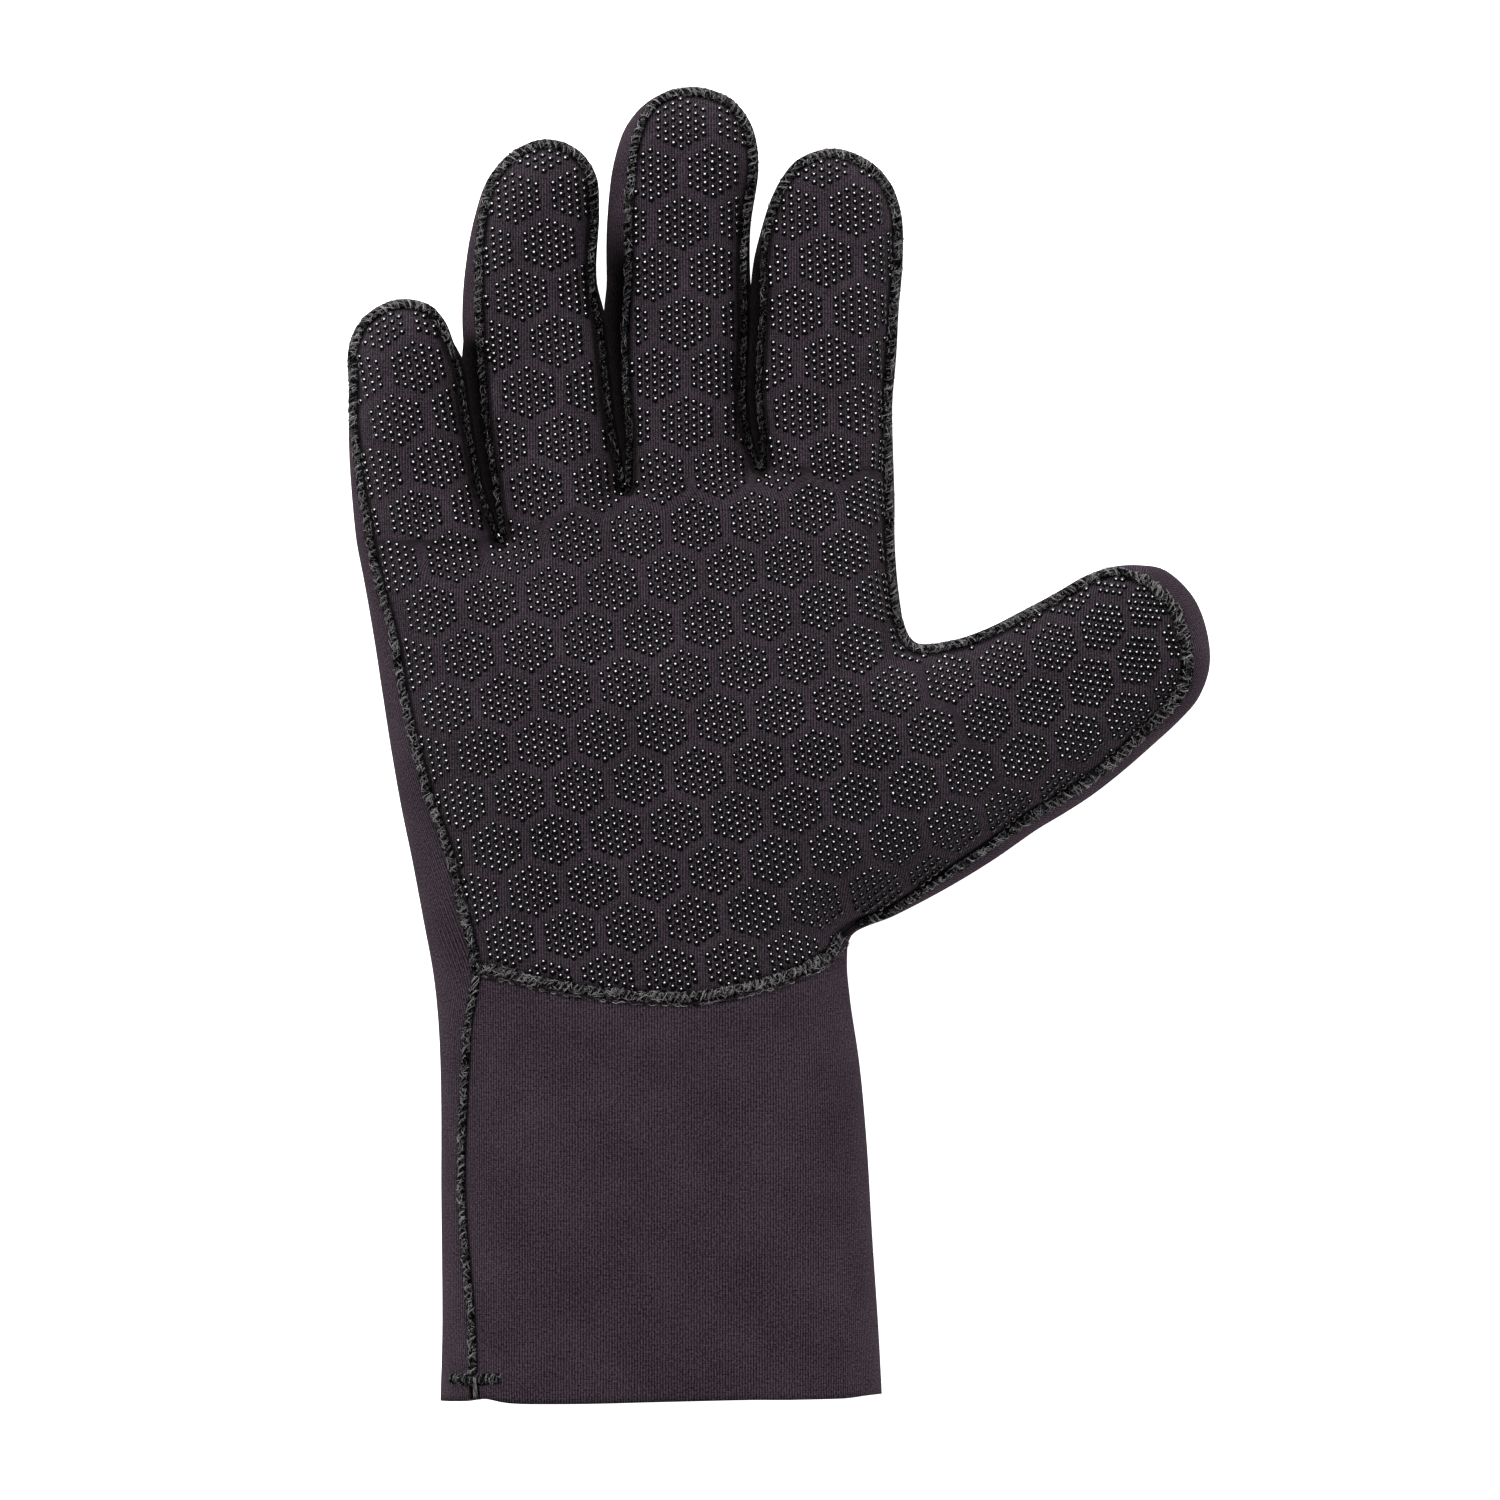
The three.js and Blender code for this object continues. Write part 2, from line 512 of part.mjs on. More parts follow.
// Straight row of points between two corners, at the given shares
function straight(a, b, shares) {
  return shares.map((t) => {
    if (t === 0) return a;
    if (t === 1) return b;
    return [lerp(a[0], b[0], t), lerp(a[1], b[1], t)];
  });
}

// Grid of points filled in between four edges, which share their corners
function fill(bottom, top, left, right, across, up) {
  const end = across.length - 1;
  return up.map((v, j) => across.map((u, i) => {
    if (j === 0) return bottom[i];
    if (j === up.length - 1) return top[i];
    if (i === 0) return left[j];
    if (i === end) return right[j];
    return [0, 1].map((k) => lerp(bottom[i][k], top[i][k], v) + lerp(left[j][k], right[j][k], u)
      - lerp(lerp(bottom[0][k], bottom[end][k], u), lerp(top[0][k], top[end][k], u), v));
  }));
}

const strip = crowdBoth(FINGER_COLUMNS);
const joined = (count) => even(count).slice(0, -1)
  .flatMap((start) => strip.slice(0, -1).map((t) => start + t / count))
  .concat(1);
const HAND_STRIPS = joined(4);
const WHOLE_STRIPS = joined(5);

// Row that bends at its corners, each stretch divided like one finger
function bentRow(corners) {
  const points = [];
  for (let k = 1; k < corners.length; k += 1) {
    points.push(...straight(corners[k - 1], corners[k], strip).slice(k === 1 ? 0 : 1));
  }
  return points;
}

// The row across the thumb crotch: the hand's four strips, then the thumb's
function thumbRow(left, crotch, base) {
  return straight(left, crotch, HAND_STRIPS).concat(straight(crotch, base, strip).slice(1));
}

function bowed(row, curve, drop, shares) {
  return row.map(([x, y, known], i) => {
    const down = drop * tableValue(curve, 'across', shares[i], 'drop');
    return [x, y - down, known];
  });
}

// Grids of the hand above the wrist row, for a sheet whose edges lie as given
function handGrids(edge, wristRow) {
  const left = side('palm left', edge);
  const right = side('palm right', edge).reverse();
  const knuckle = side('knuckle left', edge);
  const knuckleRight = side('knuckle right', edge).reverse();
  const thumbUp = side('thumb up', edge);
  const thumbDown = side('thumb down', edge).reverse();
  const fingers = ['little', 'ring', 'middle', 'index'].map((name) => ({
    up: side(`${name} up`, edge),
    tip: side(`${name} tip`, edge),
    down: side(`${name} down`, edge).reverse(),
  }));
  left[0] = wristRow[0];
  right[0] = wristRow[wristRow.length - 1];
  const crossing = thumbRow(left[left.length - 1], thumbUp[0], right[right.length - 1]);
  const knuckles = bentRow([fingers[0].up[0], ...fingers.map((finger) => finger.down[0])]);
  const count = FINGER_COLUMNS;
  const grids = [
    fill(wristRow, crossing, left, right, WHOLE_STRIPS, crowdStart(PALM_ROWS)),
    fill(
      crossing.slice(0, 4 * count + 1), knuckles, knuckle, knuckleRight,
      HAND_STRIPS, crowdEnd(KNUCKLE_ROWS),
    ),
    fill(
      crossing.slice(4 * count), side('thumb tip', edge), thumbUp, thumbDown,
      strip, crowdBoth(THUMB_ROWS),
    ),
  ];
  fingers.forEach((finger, k) => {
    const base = knuckles.slice(k * count, (k + 1) * count + 1);
    grids.push(fill(base, finger.tip, finger.up, finger.down, strip, crowdBoth(FINGER_ROWS)));
  });
  return grids;
}

// A sheet gathers cells over the plan and turns them into a wall of even thickness
class Sheet {
  constructor() {
    this.outer = [];
    this.inner = [];
    this.cells = [];
    this.index = new Map();
  }

  vertex([x, y, known], sideSign) {
    const wall = wallAt(x, y, sideSign, known);
    const key = wall.outer.map((value) => Math.round(value * 1000)).join();
    if (!this.index.has(key)) {
      this.index.set(key, this.outer.length);
      this.outer.push(wall.outer);
      this.inner.push(wall.inner);
    }
    return this.index.get(key);
  }

  addPlan(grid, sideSign) {
    const ids = grid.map((row) => row.map((point) => this.vertex(point, sideSign)));
    for (let j = 1; j < ids.length; j += 1) {
      for (let i = 1; i < ids[j].length; i += 1) {
        const cell = [ids[j - 1][i - 1], ids[j - 1][i], ids[j][i], ids[j][i - 1]];
        this.cells.push(sideSign > 0 ? cell : cell.reverse());
      }
    }
  }

  solid() {
    const count = this.outer.length;
    const triangles = [];
    const edges = new Map();
    for (const cell of this.cells) {
      for (const [a, b, c] of [[cell[0], cell[1], cell[2]], [cell[0], cell[2], cell[3]]]) {
        if (a === b || b === c || c === a) continue;
        triangles.push([a, b, c], [a + count, c + count, b + count]);
        for (const [from, to] of [[a, b], [b, c], [c, a]]) {
          if (!edges.delete(`${to},${from}`)) edges.set(`${from},${to}`, [from, to]);
        }
      }
    }
    for (const [a, b] of edges.values()) {
      if (this.outer[a][1] < this.outer[b][1]) {
        triangles.push([b, a, a + count], [b, a + count, b + count]);
      } else {
        triangles.push([b, a, b + count], [a, a + count, b + count]);
      }
    }
    return geometryOf([...this.outer, ...this.inner], triangles);
  }
}

function geometryOf(points, triangles) {
  const geometry = new THREE.BufferGeometry();
  geometry.setAttribute('position', new THREE.Float32BufferAttribute(points.flat(), 3));
  geometry.setIndex(triangles.flat());
  geometry.computeVertexNormals();
  return geometry;
}

// Wrist rows on either side of the seam, and the plain one on the back
const wristLeft = rim[rimRange['palm left'][0]];
const wristRight = rim[rimRange['palm right'][1]];
const seamOut = atSeam(-GAP / 2);
const seamIn = atSeam(GAP / 2);
const lifted = ([x, y, known], by) => [x, y + by, known];
const wristAbove = bowed(
  straight(lifted(seamIn(wristLeft), GAP / 2), lifted(seamIn(wristRight), GAP), WHOLE_STRIPS),
  WRIST_CURVE, WRIST_DROP, WHOLE_STRIPS,
);
const wristBelow = bowed(
  straight(lifted(seamIn(wristLeft), -GAP / 2), seamOut(wristRight), WHOLE_STRIPS),
  WRIST_CURVE, WRIST_DROP + GAP, WHOLE_STRIPS,
);
const wristBack = straight(onOutline(wristLeft), onOutline(wristRight), WHOLE_STRIPS);

function cuffGrid(leftEdge, rightEdge, wristRow) {
  const left = side('cuff left', leftEdge);
  const right = side('cuff right', rightEdge).reverse();
  left[left.length - 1] = wristRow[0];
  const hemStart = (left[0][0] + CUFF_WIDTH / 2) / CUFF_WIDTH;
  const hem = straight(left[0], right[0], WHOLE_STRIPS);
  const drop = (across) => tableValue(HEM_CURVE, 'across', across, 'drop');
  const bow = (t) => drop(lerp(hemStart, 1, t)) - lerp(drop(hemStart), 0, t);
  const bottom = hem.map(([x, y, known], i) => [x, y - HEM_DROP * bow(WHOLE_STRIPS[i]), known]);
  return fill(bottom, wristRow, left, right, WHOLE_STRIPS, even(CUFF_ROWS));
}

// Strip between the outline and the seam, the whole way round
function rimGrid() {
  return rim.map((point) => {
    const edge = seamOut(point)[2].distance;
    return even(RIM_COLUMNS).map((t) => inFrom(point, edge * (1 - Math.cos(t * Math.PI / 2)), 0));
  });
}

function backPanel() {
  const sheet = new Sheet();
  sheet.addPlan(cuffGrid(onOutline, onOutline, wristBack), -1);
  for (const grid of handGrids(onOutline, wristBack)) sheet.addPlan(grid, -1);
  sheet.addPlan(rimGrid(), 1);
  sheet.addPlan(cuffGrid(seamIn, seamOut, wristBelow), 1);
  return sheet.solid();
}

function palmPanel() {
  const sheet = new Sheet();
  for (const grid of handGrids(seamIn, wristAbove)) sheet.addPlan(grid, 1);
  return sheet.solid();
}

// Height of the palm-side surface and its outward direction
function surfaceAt(x, y) {
  const height = (px, py) => wallAt(px, py, 1).outer[2];
  const slopeX = (height(x + SLOPE_REACH, y) - height(x - SLOPE_REACH, y)) / (2 * SLOPE_REACH);
  const slopeY = (height(x, y + SLOPE_REACH) - height(x, y - SLOPE_REACH)) / (2 * SLOPE_REACH);
  return {
    point: new THREE.Vector3(x, y, height(x, y)),
    normal: new THREE.Vector3(-slopeX, -slopeY, 1).normalize(),
  };
}

// Thread bead along a path on the surface: half-round above, flat and clear of the cloth below
function bead(path, width, height) {
  const spots = path.map(([x, y]) => surfaceAt(x, y));
  const points = [];
  const triangles = [];
  const ring = 6;
  spots.forEach(({ point, normal }, i) => {
    const before = spots[Math.max(0, i - 1)].point;
    const after = spots[Math.min(spots.length - 1, i + 1)].point;
    const across = new THREE.Vector3().subVectors(after, before).cross(normal).normalize();
    const foot = (out) => {
      const under = surfaceAt(point.x + across.x * out, point.y + across.y * out);
      return under.point.addScaledVector(under.normal, GAP);
    };
    const above = (out, up) => point.clone()
      .addScaledVector(across, out * width / 2)
      .addScaledVector(normal, GAP + up * height);
    points.push(
      foot(width / 2).toArray(),
      above(0.7, 0.75).toArray(),
      above(0, 1).toArray(),
      above(-0.7, 0.75).toArray(),
      foot(-width / 2).toArray(),
      above(0, 0).toArray(),
    );
    if (i === 0) return;
    const a = (i - 1) * ring;
    const b = i * ring;
    for (let k = 0; k < ring; k += 1) {
      const next = (k + 1) % ring;
      triangles.push([a + k, b + k, b + next], [a + k, b + next, a + next]);
    }
  });
  const last = (spots.length - 1) * ring;
  for (let k = 1; k < ring - 1; k += 1) {
    triangles.push([0, k, k + 1], [last, last + k + 1, last + k]);
  }
  return geometryOf(points, triangles);
}

const seamPath = rim.map(atSeam(0));
const cornerIndex = rimRange['palm left'][0];
const notchIndex = rimRange['palm right'][1];

function towards(from, to, distance) {
  const length = Math.hypot(to[0] - from[0], to[1] - from[1]);
  return [lerp(from[0], to[0], distance / length), lerp(from[1], to[1], distance / length)];
}

// Each bead ends short of the seam that it meets
const clear = PALM_SEAM_WIDTH / 2 + GAP;

// The path without its first stretch of the given length
function trimmed(path, length) {
  const rest = [...path];
  let left = length;
  while (rest.length > 2) {
    const step = Math.hypot(rest[1][0] - rest[0][0], rest[1][1] - rest[0][1]);
    if (step > left) break;
    left -= step;
    rest.shift();
  }
  rest[0] = towards(rest[0], rest[1], left);
  return rest;
}

const trimmedEnd = (path, length) => trimmed([...path].reverse(), length).reverse();

function palmSeamPath() {
  const path = seamPath.slice(cornerIndex, notchIndex + 1);
  return trimmedEnd(trimmed(path, clear), 2 * clear);
}

function wristSeamPath() {
  const path = wristAbove.map(([x, y], i) => [(x + wristBelow[i][0]) / 2, (y + wristBelow[i][1]) / 2]);
  return trimmedEnd(trimmed(path, clear), 3 * clear);
}

function cuffSeamPath() {
  const path = seamPath.slice(0, cornerIndex + 1);
  return trimmedEnd(trimmed(path, TACK_FROM_HEM + TACK_WIDTH / 2 + GAP), clear);
}

function tackPath() {
  const middle = trimmed(seamPath, TACK_FROM_HEM)[0];
  return even(4).map((t) => [middle[0] + (t - 0.5) * TACK_LENGTH, middle[1]]);
}

// Colours and finishes
const knit = new THREE.MeshStandardMaterial({ color: 0x38313a, roughness: 0.85, metalness: 0 });
const printed = new THREE.MeshStandardMaterial({ color: 0x2f2b2f, roughness: 0.7, metalness: 0 });
const thread = new THREE.MeshStandardMaterial({ color: 0x3d3d3b, roughness: 0.9, metalness: 0 });

const glove = new THREE.Group();

function addPiece(name, geometry, material) {
  const mesh = new THREE.Mesh(geometry, material);
  mesh.name = name;
  glove.add(mesh);
}

addPiece('back_panel', backPanel(), knit);
addPiece('palm_panel', palmPanel(), printed);
addPiece('palm_seam', bead(palmSeamPath(), PALM_SEAM_WIDTH, SEAM_HEIGHT), thread);
addPiece('wrist_seam', bead(wristSeamPath(), PALM_SEAM_WIDTH, SEAM_HEIGHT), thread);
addPiece('cuff_seam', bead(cuffSeamPath(), CUFF_SEAM_WIDTH, SEAM_HEIGHT), thread);
addPiece('bar_tack', bead(tackPath(), TACK_WIDTH, SEAM_HEIGHT), thread);

// The glove's origin is the middle of its box, on the ground
const box = new THREE.Box3().setFromObject(glove);
glove.position.set(-(box.min.x + box.max.x) / 2, -(box.min.y + box.max.y) / 2, -box.min.z);

export default glove;
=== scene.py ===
"""Long-cuffed diving glove of sponge rubber, palm up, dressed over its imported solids."""
import math

import bpy
import numpy as np
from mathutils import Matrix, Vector


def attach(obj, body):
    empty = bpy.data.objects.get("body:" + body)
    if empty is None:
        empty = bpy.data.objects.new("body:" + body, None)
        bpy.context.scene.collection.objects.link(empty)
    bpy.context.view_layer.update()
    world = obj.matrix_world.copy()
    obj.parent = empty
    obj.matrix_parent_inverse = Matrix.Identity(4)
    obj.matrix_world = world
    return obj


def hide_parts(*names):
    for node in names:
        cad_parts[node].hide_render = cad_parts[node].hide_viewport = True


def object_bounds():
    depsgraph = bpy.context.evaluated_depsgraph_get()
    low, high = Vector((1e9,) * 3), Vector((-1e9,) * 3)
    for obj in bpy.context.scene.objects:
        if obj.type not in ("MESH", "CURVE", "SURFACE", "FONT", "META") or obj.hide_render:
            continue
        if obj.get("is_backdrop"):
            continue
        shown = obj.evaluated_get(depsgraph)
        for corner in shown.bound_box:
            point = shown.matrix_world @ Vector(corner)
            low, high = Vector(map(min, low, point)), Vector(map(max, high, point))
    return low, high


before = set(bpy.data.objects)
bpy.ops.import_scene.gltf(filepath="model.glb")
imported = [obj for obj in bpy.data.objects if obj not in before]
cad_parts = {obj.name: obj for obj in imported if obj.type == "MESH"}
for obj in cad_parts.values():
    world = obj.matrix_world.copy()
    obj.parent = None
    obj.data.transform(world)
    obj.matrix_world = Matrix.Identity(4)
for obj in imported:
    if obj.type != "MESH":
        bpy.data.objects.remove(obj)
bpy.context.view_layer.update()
scene = bpy.context.scene

# Camera: straight above the glove with a long lens, the frame 318.2 mm wide at the glove's widest
# line, as the photograph takes it.
FRAME_WIDTH = 0.3182
CAMERA_HEIGHT = 6.0
WIDEST_LINE = 0.015
camera = bpy.data.objects.new("camera", bpy.data.cameras.new("camera"))
scene.collection.objects.link(camera)
scene.camera = camera
camera.location = (-0.0055, -0.0013, CAMERA_HEIGHT)
camera.data.sensor_width = 36
camera.data.lens = 36 * (CAMERA_HEIGHT - WIDEST_LINE) / FRAME_WIDTH
camera.data.clip_end = 20

# Studio: a white sweep under the glove, one large soft light beyond its fingertips that puts the
# bright point on each grip dot, helped by a light that only glossy things show, a low light from the
# thumb side for the white room's bounce, and a weak even sky so that the rest of each dot stays black.
scene.view_settings.view_transform = "Standard"
world = bpy.data.worlds.new("studio_air")
world.use_nodes = True
world.node_tree.nodes["Background"].inputs["Color"].default_value = (1, 1, 1, 1)
world.node_tree.nodes["Background"].inputs["Strength"].default_value = 0.10
scene.world = world


def studio_light(name, place, width, watts, diffuse=True, glossy=True):
    """A square area light at a place, turned to the glove, and what kinds of surface it lights."""
    data = bpy.data.lights.new(name, "AREA")
    data.size = width
    data.energy = watts
    light = bpy.data.objects.new(name, data)
    scene.collection.objects.link(light)
    light.location = place
    light.rotation_euler = (-Vector(place)).to_track_quat("-Z", "Y").to_euler()
    light.visible_diffuse = diffuse
    light.visible_glossy = glossy


studio_light("key", (-0.38, 1.00, 1.20), 1.2, 34.0)
studio_light("glint", (-0.36, 1.05, 1.05), 1.0, 150.0, diffuse=False)
studio_light("bounce", (1.10, -0.80, 0.22), 0.8, 9.0, glossy=False)


class Wire:
    """A shader socket that takes part in sums: each operator adds its Math node."""

    def __init__(self, tree, socket):
        self.tree = tree
        self.socket = socket

    def math(self, operation, *others):
        return self.tree.node("ShaderNodeMath", {"operation": operation}, self, *others)

    def __add__(self, other):
        return self.math("ADD", other)

    def __mul__(self, other):
        return self.math("MULTIPLY", other)

    def __sub__(self, other):
        return self.math("SUBTRACT", other)

    def __rsub__(self, other):
        return self.tree.node("ShaderNodeMath", {"operation": "SUBTRACT"}, other, self)

    def __truediv__(self, other):
        return self.math("DIVIDE", other)

    def __pow__(self, other):
        return self.math("POWER", other)

    def band(self, low, high):
        """0 below low, 1 above high, with a soft step between."""
        return self.tree.node(
            "ShaderNodeMapRange", {"interpolation_type": "SMOOTHSTEP"}, self, low, high, 0.0, 1.0
        )

    __radd__ = __add__
    __rmul__ = __mul__


class Finish:
    """A new material with one Principled shader."""

    def __init__(self, name, **values):
        self.material = bpy.data.materials.new(name)
        self.material.use_nodes = True
        self.tree = self.material.node_tree
        self.shader = self.tree.nodes["Principled BSDF"]
        for socket, value in values.items():
            self.shader.inputs[socket.replace("_", " ")].default_value = value

    def node(self, kind, settings, *values, out=0, **named):
        made = self.tree.nodes.new(kind)
        for key, value in settings.items():
            setattr(made, key, value)
        for key, value in list(enumerate(values)) + list(named.items()):
            socket = made.inputs[key if isinstance(key, int) else key.replace("_", " ")]
            if isinstance(value, Wire):
                self.tree.links.new(value.socket, socket)
            else:
                socket.default_value = value
        return Wire(self, made.outputs[out])

    def mix(self, share, a, b):
        """Colour a where share is 0, colour b where it is 1."""
        made = self.tree.nodes.new("ShaderNodeMix")
        made.data_type = "RGBA"
        for index, value in ((0, share), (6, a), (7, b)):
            if isinstance(value, Wire):
                self.tree.links.new(value.socket, made.inputs[index])
            elif index:
                made.inputs[index].default_value = (*value, 1)
            else:
                made.inputs[index].default_value = value
        return Wire(self, made.outputs[2])

    def feed(self, socket, wire):
        self.tree.links.new(wire.socket, self.shader.inputs[socket])

    def bump(self, height, depth):
        """Raises the surface by depth metres where height is 1."""
        self.feed("Normal", self.node("ShaderNodeBump", {}, Strength=1.0, Distance=depth, Height=height))


def studio_floor():
    """A flat sheet wide enough for every view."""
    half = 4.0
    mesh = bpy.data.meshes.new("studio_floor")
    mesh.from_pydata([(-half, -half, 0), (half, -half, 0), (half, half, 0), (-half, half, 0)], [], [(0, 1, 2, 3)])
    floor = bpy.data.objects.new("studio_floor", mesh)
    scene.collection.objects.link(floor)
    paper = Finish("white_paper", Base_Color=(0.93, 0.93, 0.93, 1), Roughness=0.9)
    paper.shader.inputs["Emission Color"].default_value = (1, 1, 1, 1)
    paper.shader.inputs["Emission Strength"].default_value = 1.15
    mesh.materials.append(paper.material)
    floor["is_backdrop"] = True


studio_floor()

# The cut: the glove's outline seen from above, from the hem's left end round the fingers to its
# right end. The two panels are cut from sponge rubber sheet by it and sewn over a hand former.
# Millimetres, x to the thumb side and y to the fingertips.
CUFF_LENGTH = 99.3
CUFF_WIDTH = 94
PALM_LENGTH = 97
FINGERS = {
    "little": dict(width=30.2, length=51.8, lean=-4.3),
    "ring": dict(width=26.6, length=79.5, lean=-1.4),
    "middle": dict(width=28.5, length=82.8, lean=1.7),
    "index": dict(width=28.9, length=67.5, lean=1.4),
    "thumb": dict(width=47.7, length=54.5, lean=57),
}
CROTCH_RADIUS = 0.15
SEAM_EDGE = 1.3
CROTCH_SEAM = 1.5
KNUCKLE_WIDTH = sum(FINGERS[name]["width"] for name in ("little", "ring", "middle", "index"))
CUT_SHIFT = np.array([-24.823, -139.171])
# Columns of the edge tables: height share, half-width share, seam distance share
CUFF_LEFT = [(0.00, 0.985, 0.076), (0.15, 0.977, 0.067), (0.45, 0.982, 0.046), (0.65, 0.983, 0.052),
             (0.80, 0.994, 0.067), (0.91, 1.018, 0.098)]
CUFF_RIGHT = [(0.99, 0.872), (0.94, 0.850), (0.86, 0.862), (0.72, 0.905), (0.55, 0.938), (0.35, 0.963),
              (0.15, 0.991), (0.015, 1.006)]
HAND_LEFT = [(0.03, 0.438, 0.077), (0.15, 0.457, 0.071), (0.27, 0.478, 0.057), (0.39, 0.496, 0.047),
             (0.51, 0.512, 0.040), (0.64, 0.529, 0.037), (0.76, 0.547, 0.028), (0.85, 0.562, 0.026)]
HAND_RIGHT = [(1.02, 0.438), (0.94, 0.440), (0.86, 0.440), (0.78, 0.444), (0.72, 0.450), (0.68, 0.456)]
THUMB_CROTCH = (0.636, 0.476)
HEEL_EDGE = [(0.25, 0.020), (0.50, 0.026), (0.78, 0.018)]
CROTCH_UP = [0.86, 0.972, 1.018]
# Columns of the finger tables: length share, reach left and right, seam distance left and right
FINGER_ROWS = {
    "little": [(0.08, 1.01, 0.90, 0.20, 0.12), (0.20, 1.02, 0.80, 0.16, 0), (0.35, 1.02, 0.74, 0.13, 0),
               (0.50, 1.00, 0.69, 0.08, 0), (0.65, 0.96, 0.66, 0, 0), (0.80, 0.93, 0.59, 0, 0),
               (0.90, 0.78, 0.48, 0, 0), (0.97, 0.50, 0.27, 0, 0)],
    "ring": [(0.13, 1.25, 0.94, 0.18, 0.12), (0.21, 1.33, 0.86, 0.20, 0), (0.35, 1.44, 0.78, 0.25, 0),
             (0.50, 1.51, 0.71, 0.28, 0), (0.65, 1.45, 0.67, 0.23, 0), (0.80, 1.27, 0.74, 0.14, 0),
             (0.90, 1.04, 0.70, 0.07, 0), (0.97, 0.63, 0.41, 0, 0)],
    "middle": [(0.08, 1.06, 0.87, 0.15, 0.12), (0.20, 1.17, 0.75, 0.18, 0), (0.35, 1.28, 0.75, 0.23, 0),
               (0.50, 1.35, 0.75, 0.33, 0), (0.65, 1.37, 0.79, 0.32, 0), (0.80, 1.29, 0.88, 0.28, 0),
               (0.90, 1.10, 0.77, 0.20, 0), (0.97, 0.72, 0.45, 0.04, 0)],
    "index": [(0.08, 1.07, 0.98, 0.17, 0), (0.20, 1.15, 0.96, 0.14, 0), (0.35, 1.16, 1.00, 0.15, 0),
              (0.50, 1.13, 1.02, 0.15, 0), (0.65, 1.12, 1.06, 0.12, 0), (0.80, 0.98, 1.02, 0.07, 0),
              (0.90, 0.78, 0.83, 0, 0), (0.965, 0.52, 0.51, 0, 0)],
    "thumb": [(0.12, 0.84, 1.01, 0, 0.13), (0.25, 0.76, 1.01, 0, 0.13), (0.40, 0.72, 0.98, 0, 0.13),
              (0.55, 0.69, 0.93, 0, 0.14), (0.70, 0.67, 0.87, 0, 0.15), (0.80, 0.61, 0.80, 0.03, 0.17),
              (0.90, 0.47, 0.63, 0.13, 0.20), (0.965, 0.32, 0.38, 0.20, 0.22)],
}


def palm_y(up):
    return CUFF_LENGTH + up * PALM_LENGTH


knuckle_left = -HAND_LEFT[-1][1] * KNUCKLE_WIDTH
crotch_x = knuckle_left + np.cumsum([FINGERS[name]["width"] for name in ("little", "ring", "middle")])
crotches = [np.array([x, palm_y(up)]) for x, up in zip(crotch_x, CROTCH_UP)]
little_base = np.array([knuckle_left, palm_y(HAND_LEFT[-1][0])])
index_base = np.array([knuckle_left + KNUCKLE_WIDTH, palm_y(HAND_RIGHT[0][0])])
thumb_crotch = np.array([THUMB_CROTCH[1] * KNUCKLE_WIDTH, palm_y(THUMB_CROTCH[0])])
for name, base in zip(FINGERS, [(little_base + crotches[0]) / 2, (crotches[0] + crotches[1]) / 2,
                                (crotches[1] + crotches[2]) / 2, (crotches[2] + index_base) / 2, thumb_crotch]):
    lean = math.radians(FINGERS[name]["lean"])
    FINGERS[name]["along"] = np.array([math.sin(lean), math.cos(lean)])
    FINGERS[name]["across"] = np.array([math.cos(lean), -math.sin(lean)])
    FINGERS[name]["base"] = base
FINGERS["thumb"]["base"] = thumb_crotch + FINGERS["thumb"]["across"] * FINGERS["thumb"]["width"] / 2

corner_points = []
marks = {}


def add_corner(x, y, seam, mark=None):
    corner_points.append((x, y, max(seam, SEAM_EDGE)))
    if mark:
        marks[mark] = len(corner_points) - 1


def add_finger(name, right_base=False):
    """Corners up the left side of a finger, over its tip and down its right side."""
    finger = FINGERS[name]
    rows = FINGER_ROWS[name]
    half = finger["width"] / 2

    def place(out, along, seam, mark=None):
        x, y = finger["base"] + finger["across"] * out + finger["along"] * along
        add_corner(x, y, seam, mark)

    for k, (along, left, _, seam, _) in enumerate(rows):
        place(-left * half, along * finger["length"], seam * half, k == len(rows) - 2 and name + " left")
    _, left, right, seam_left, seam_right = rows[-1]
    place((right - left) / 2 * half, finger["length"], (seam_left + seam_right) / 2 * half)
    for k, (along, _, right, _, seam) in list(enumerate(rows))[::-1]:
        place(right * half, along * finger["length"], seam * half, k == len(rows) - 2 and name + " right")
    if right_base:
        place(half, 0, rows[0][4] * half, name + " base")


def add_crotch(point, mark):
    add_corner(point[0] - CROTCH_RADIUS, point[1] + CROTCH_RADIUS, CROTCH_SEAM)
    add_corner(point[0], point[1], CROTCH_SEAM, mark)
    add_corner(point[0] + CROTCH_RADIUS, point[1] + CROTCH_RADIUS, CROTCH_SEAM)


for k, (up, out, seam) in enumerate(CUFF_LEFT):
    add_corner(-out * CUFF_WIDTH / 2, up * CUFF_LENGTH, seam * CUFF_WIDTH, k == len(CUFF_LEFT) - 1 and "wrist left")
for k, (up, out, seam) in enumerate(HAND_LEFT):
    mark = {5: "thumb row", 7: "little base"}.get(k)
    add_corner(-out * KNUCKLE_WIDTH, palm_y(up), seam * KNUCKLE_WIDTH, mark)
add_finger("little")
add_crotch(crotches[0], "crotch 1")
add_finger("ring")
add_crotch(crotches[1], "crotch 2")
add_finger("middle")
add_crotch(crotches[2], "crotch 3")
add_finger("index")
for k, (up, out) in enumerate(HAND_RIGHT):
    add_corner(out * KNUCKLE_WIDTH, palm_y(up), 0, k == 0 and "index base")
add_corner(*thumb_crotch, 0, "thumb crotch")
add_finger("thumb", right_base=True)
heel = np.array(corner_points[marks["thumb base"]])
notch = np.array([CUFF_RIGHT[0][1] * CUFF_WIDTH / 2, CUFF_RIGHT[0][0] * CUFF_LENGTH])
heel_way = heel[:2] - notch
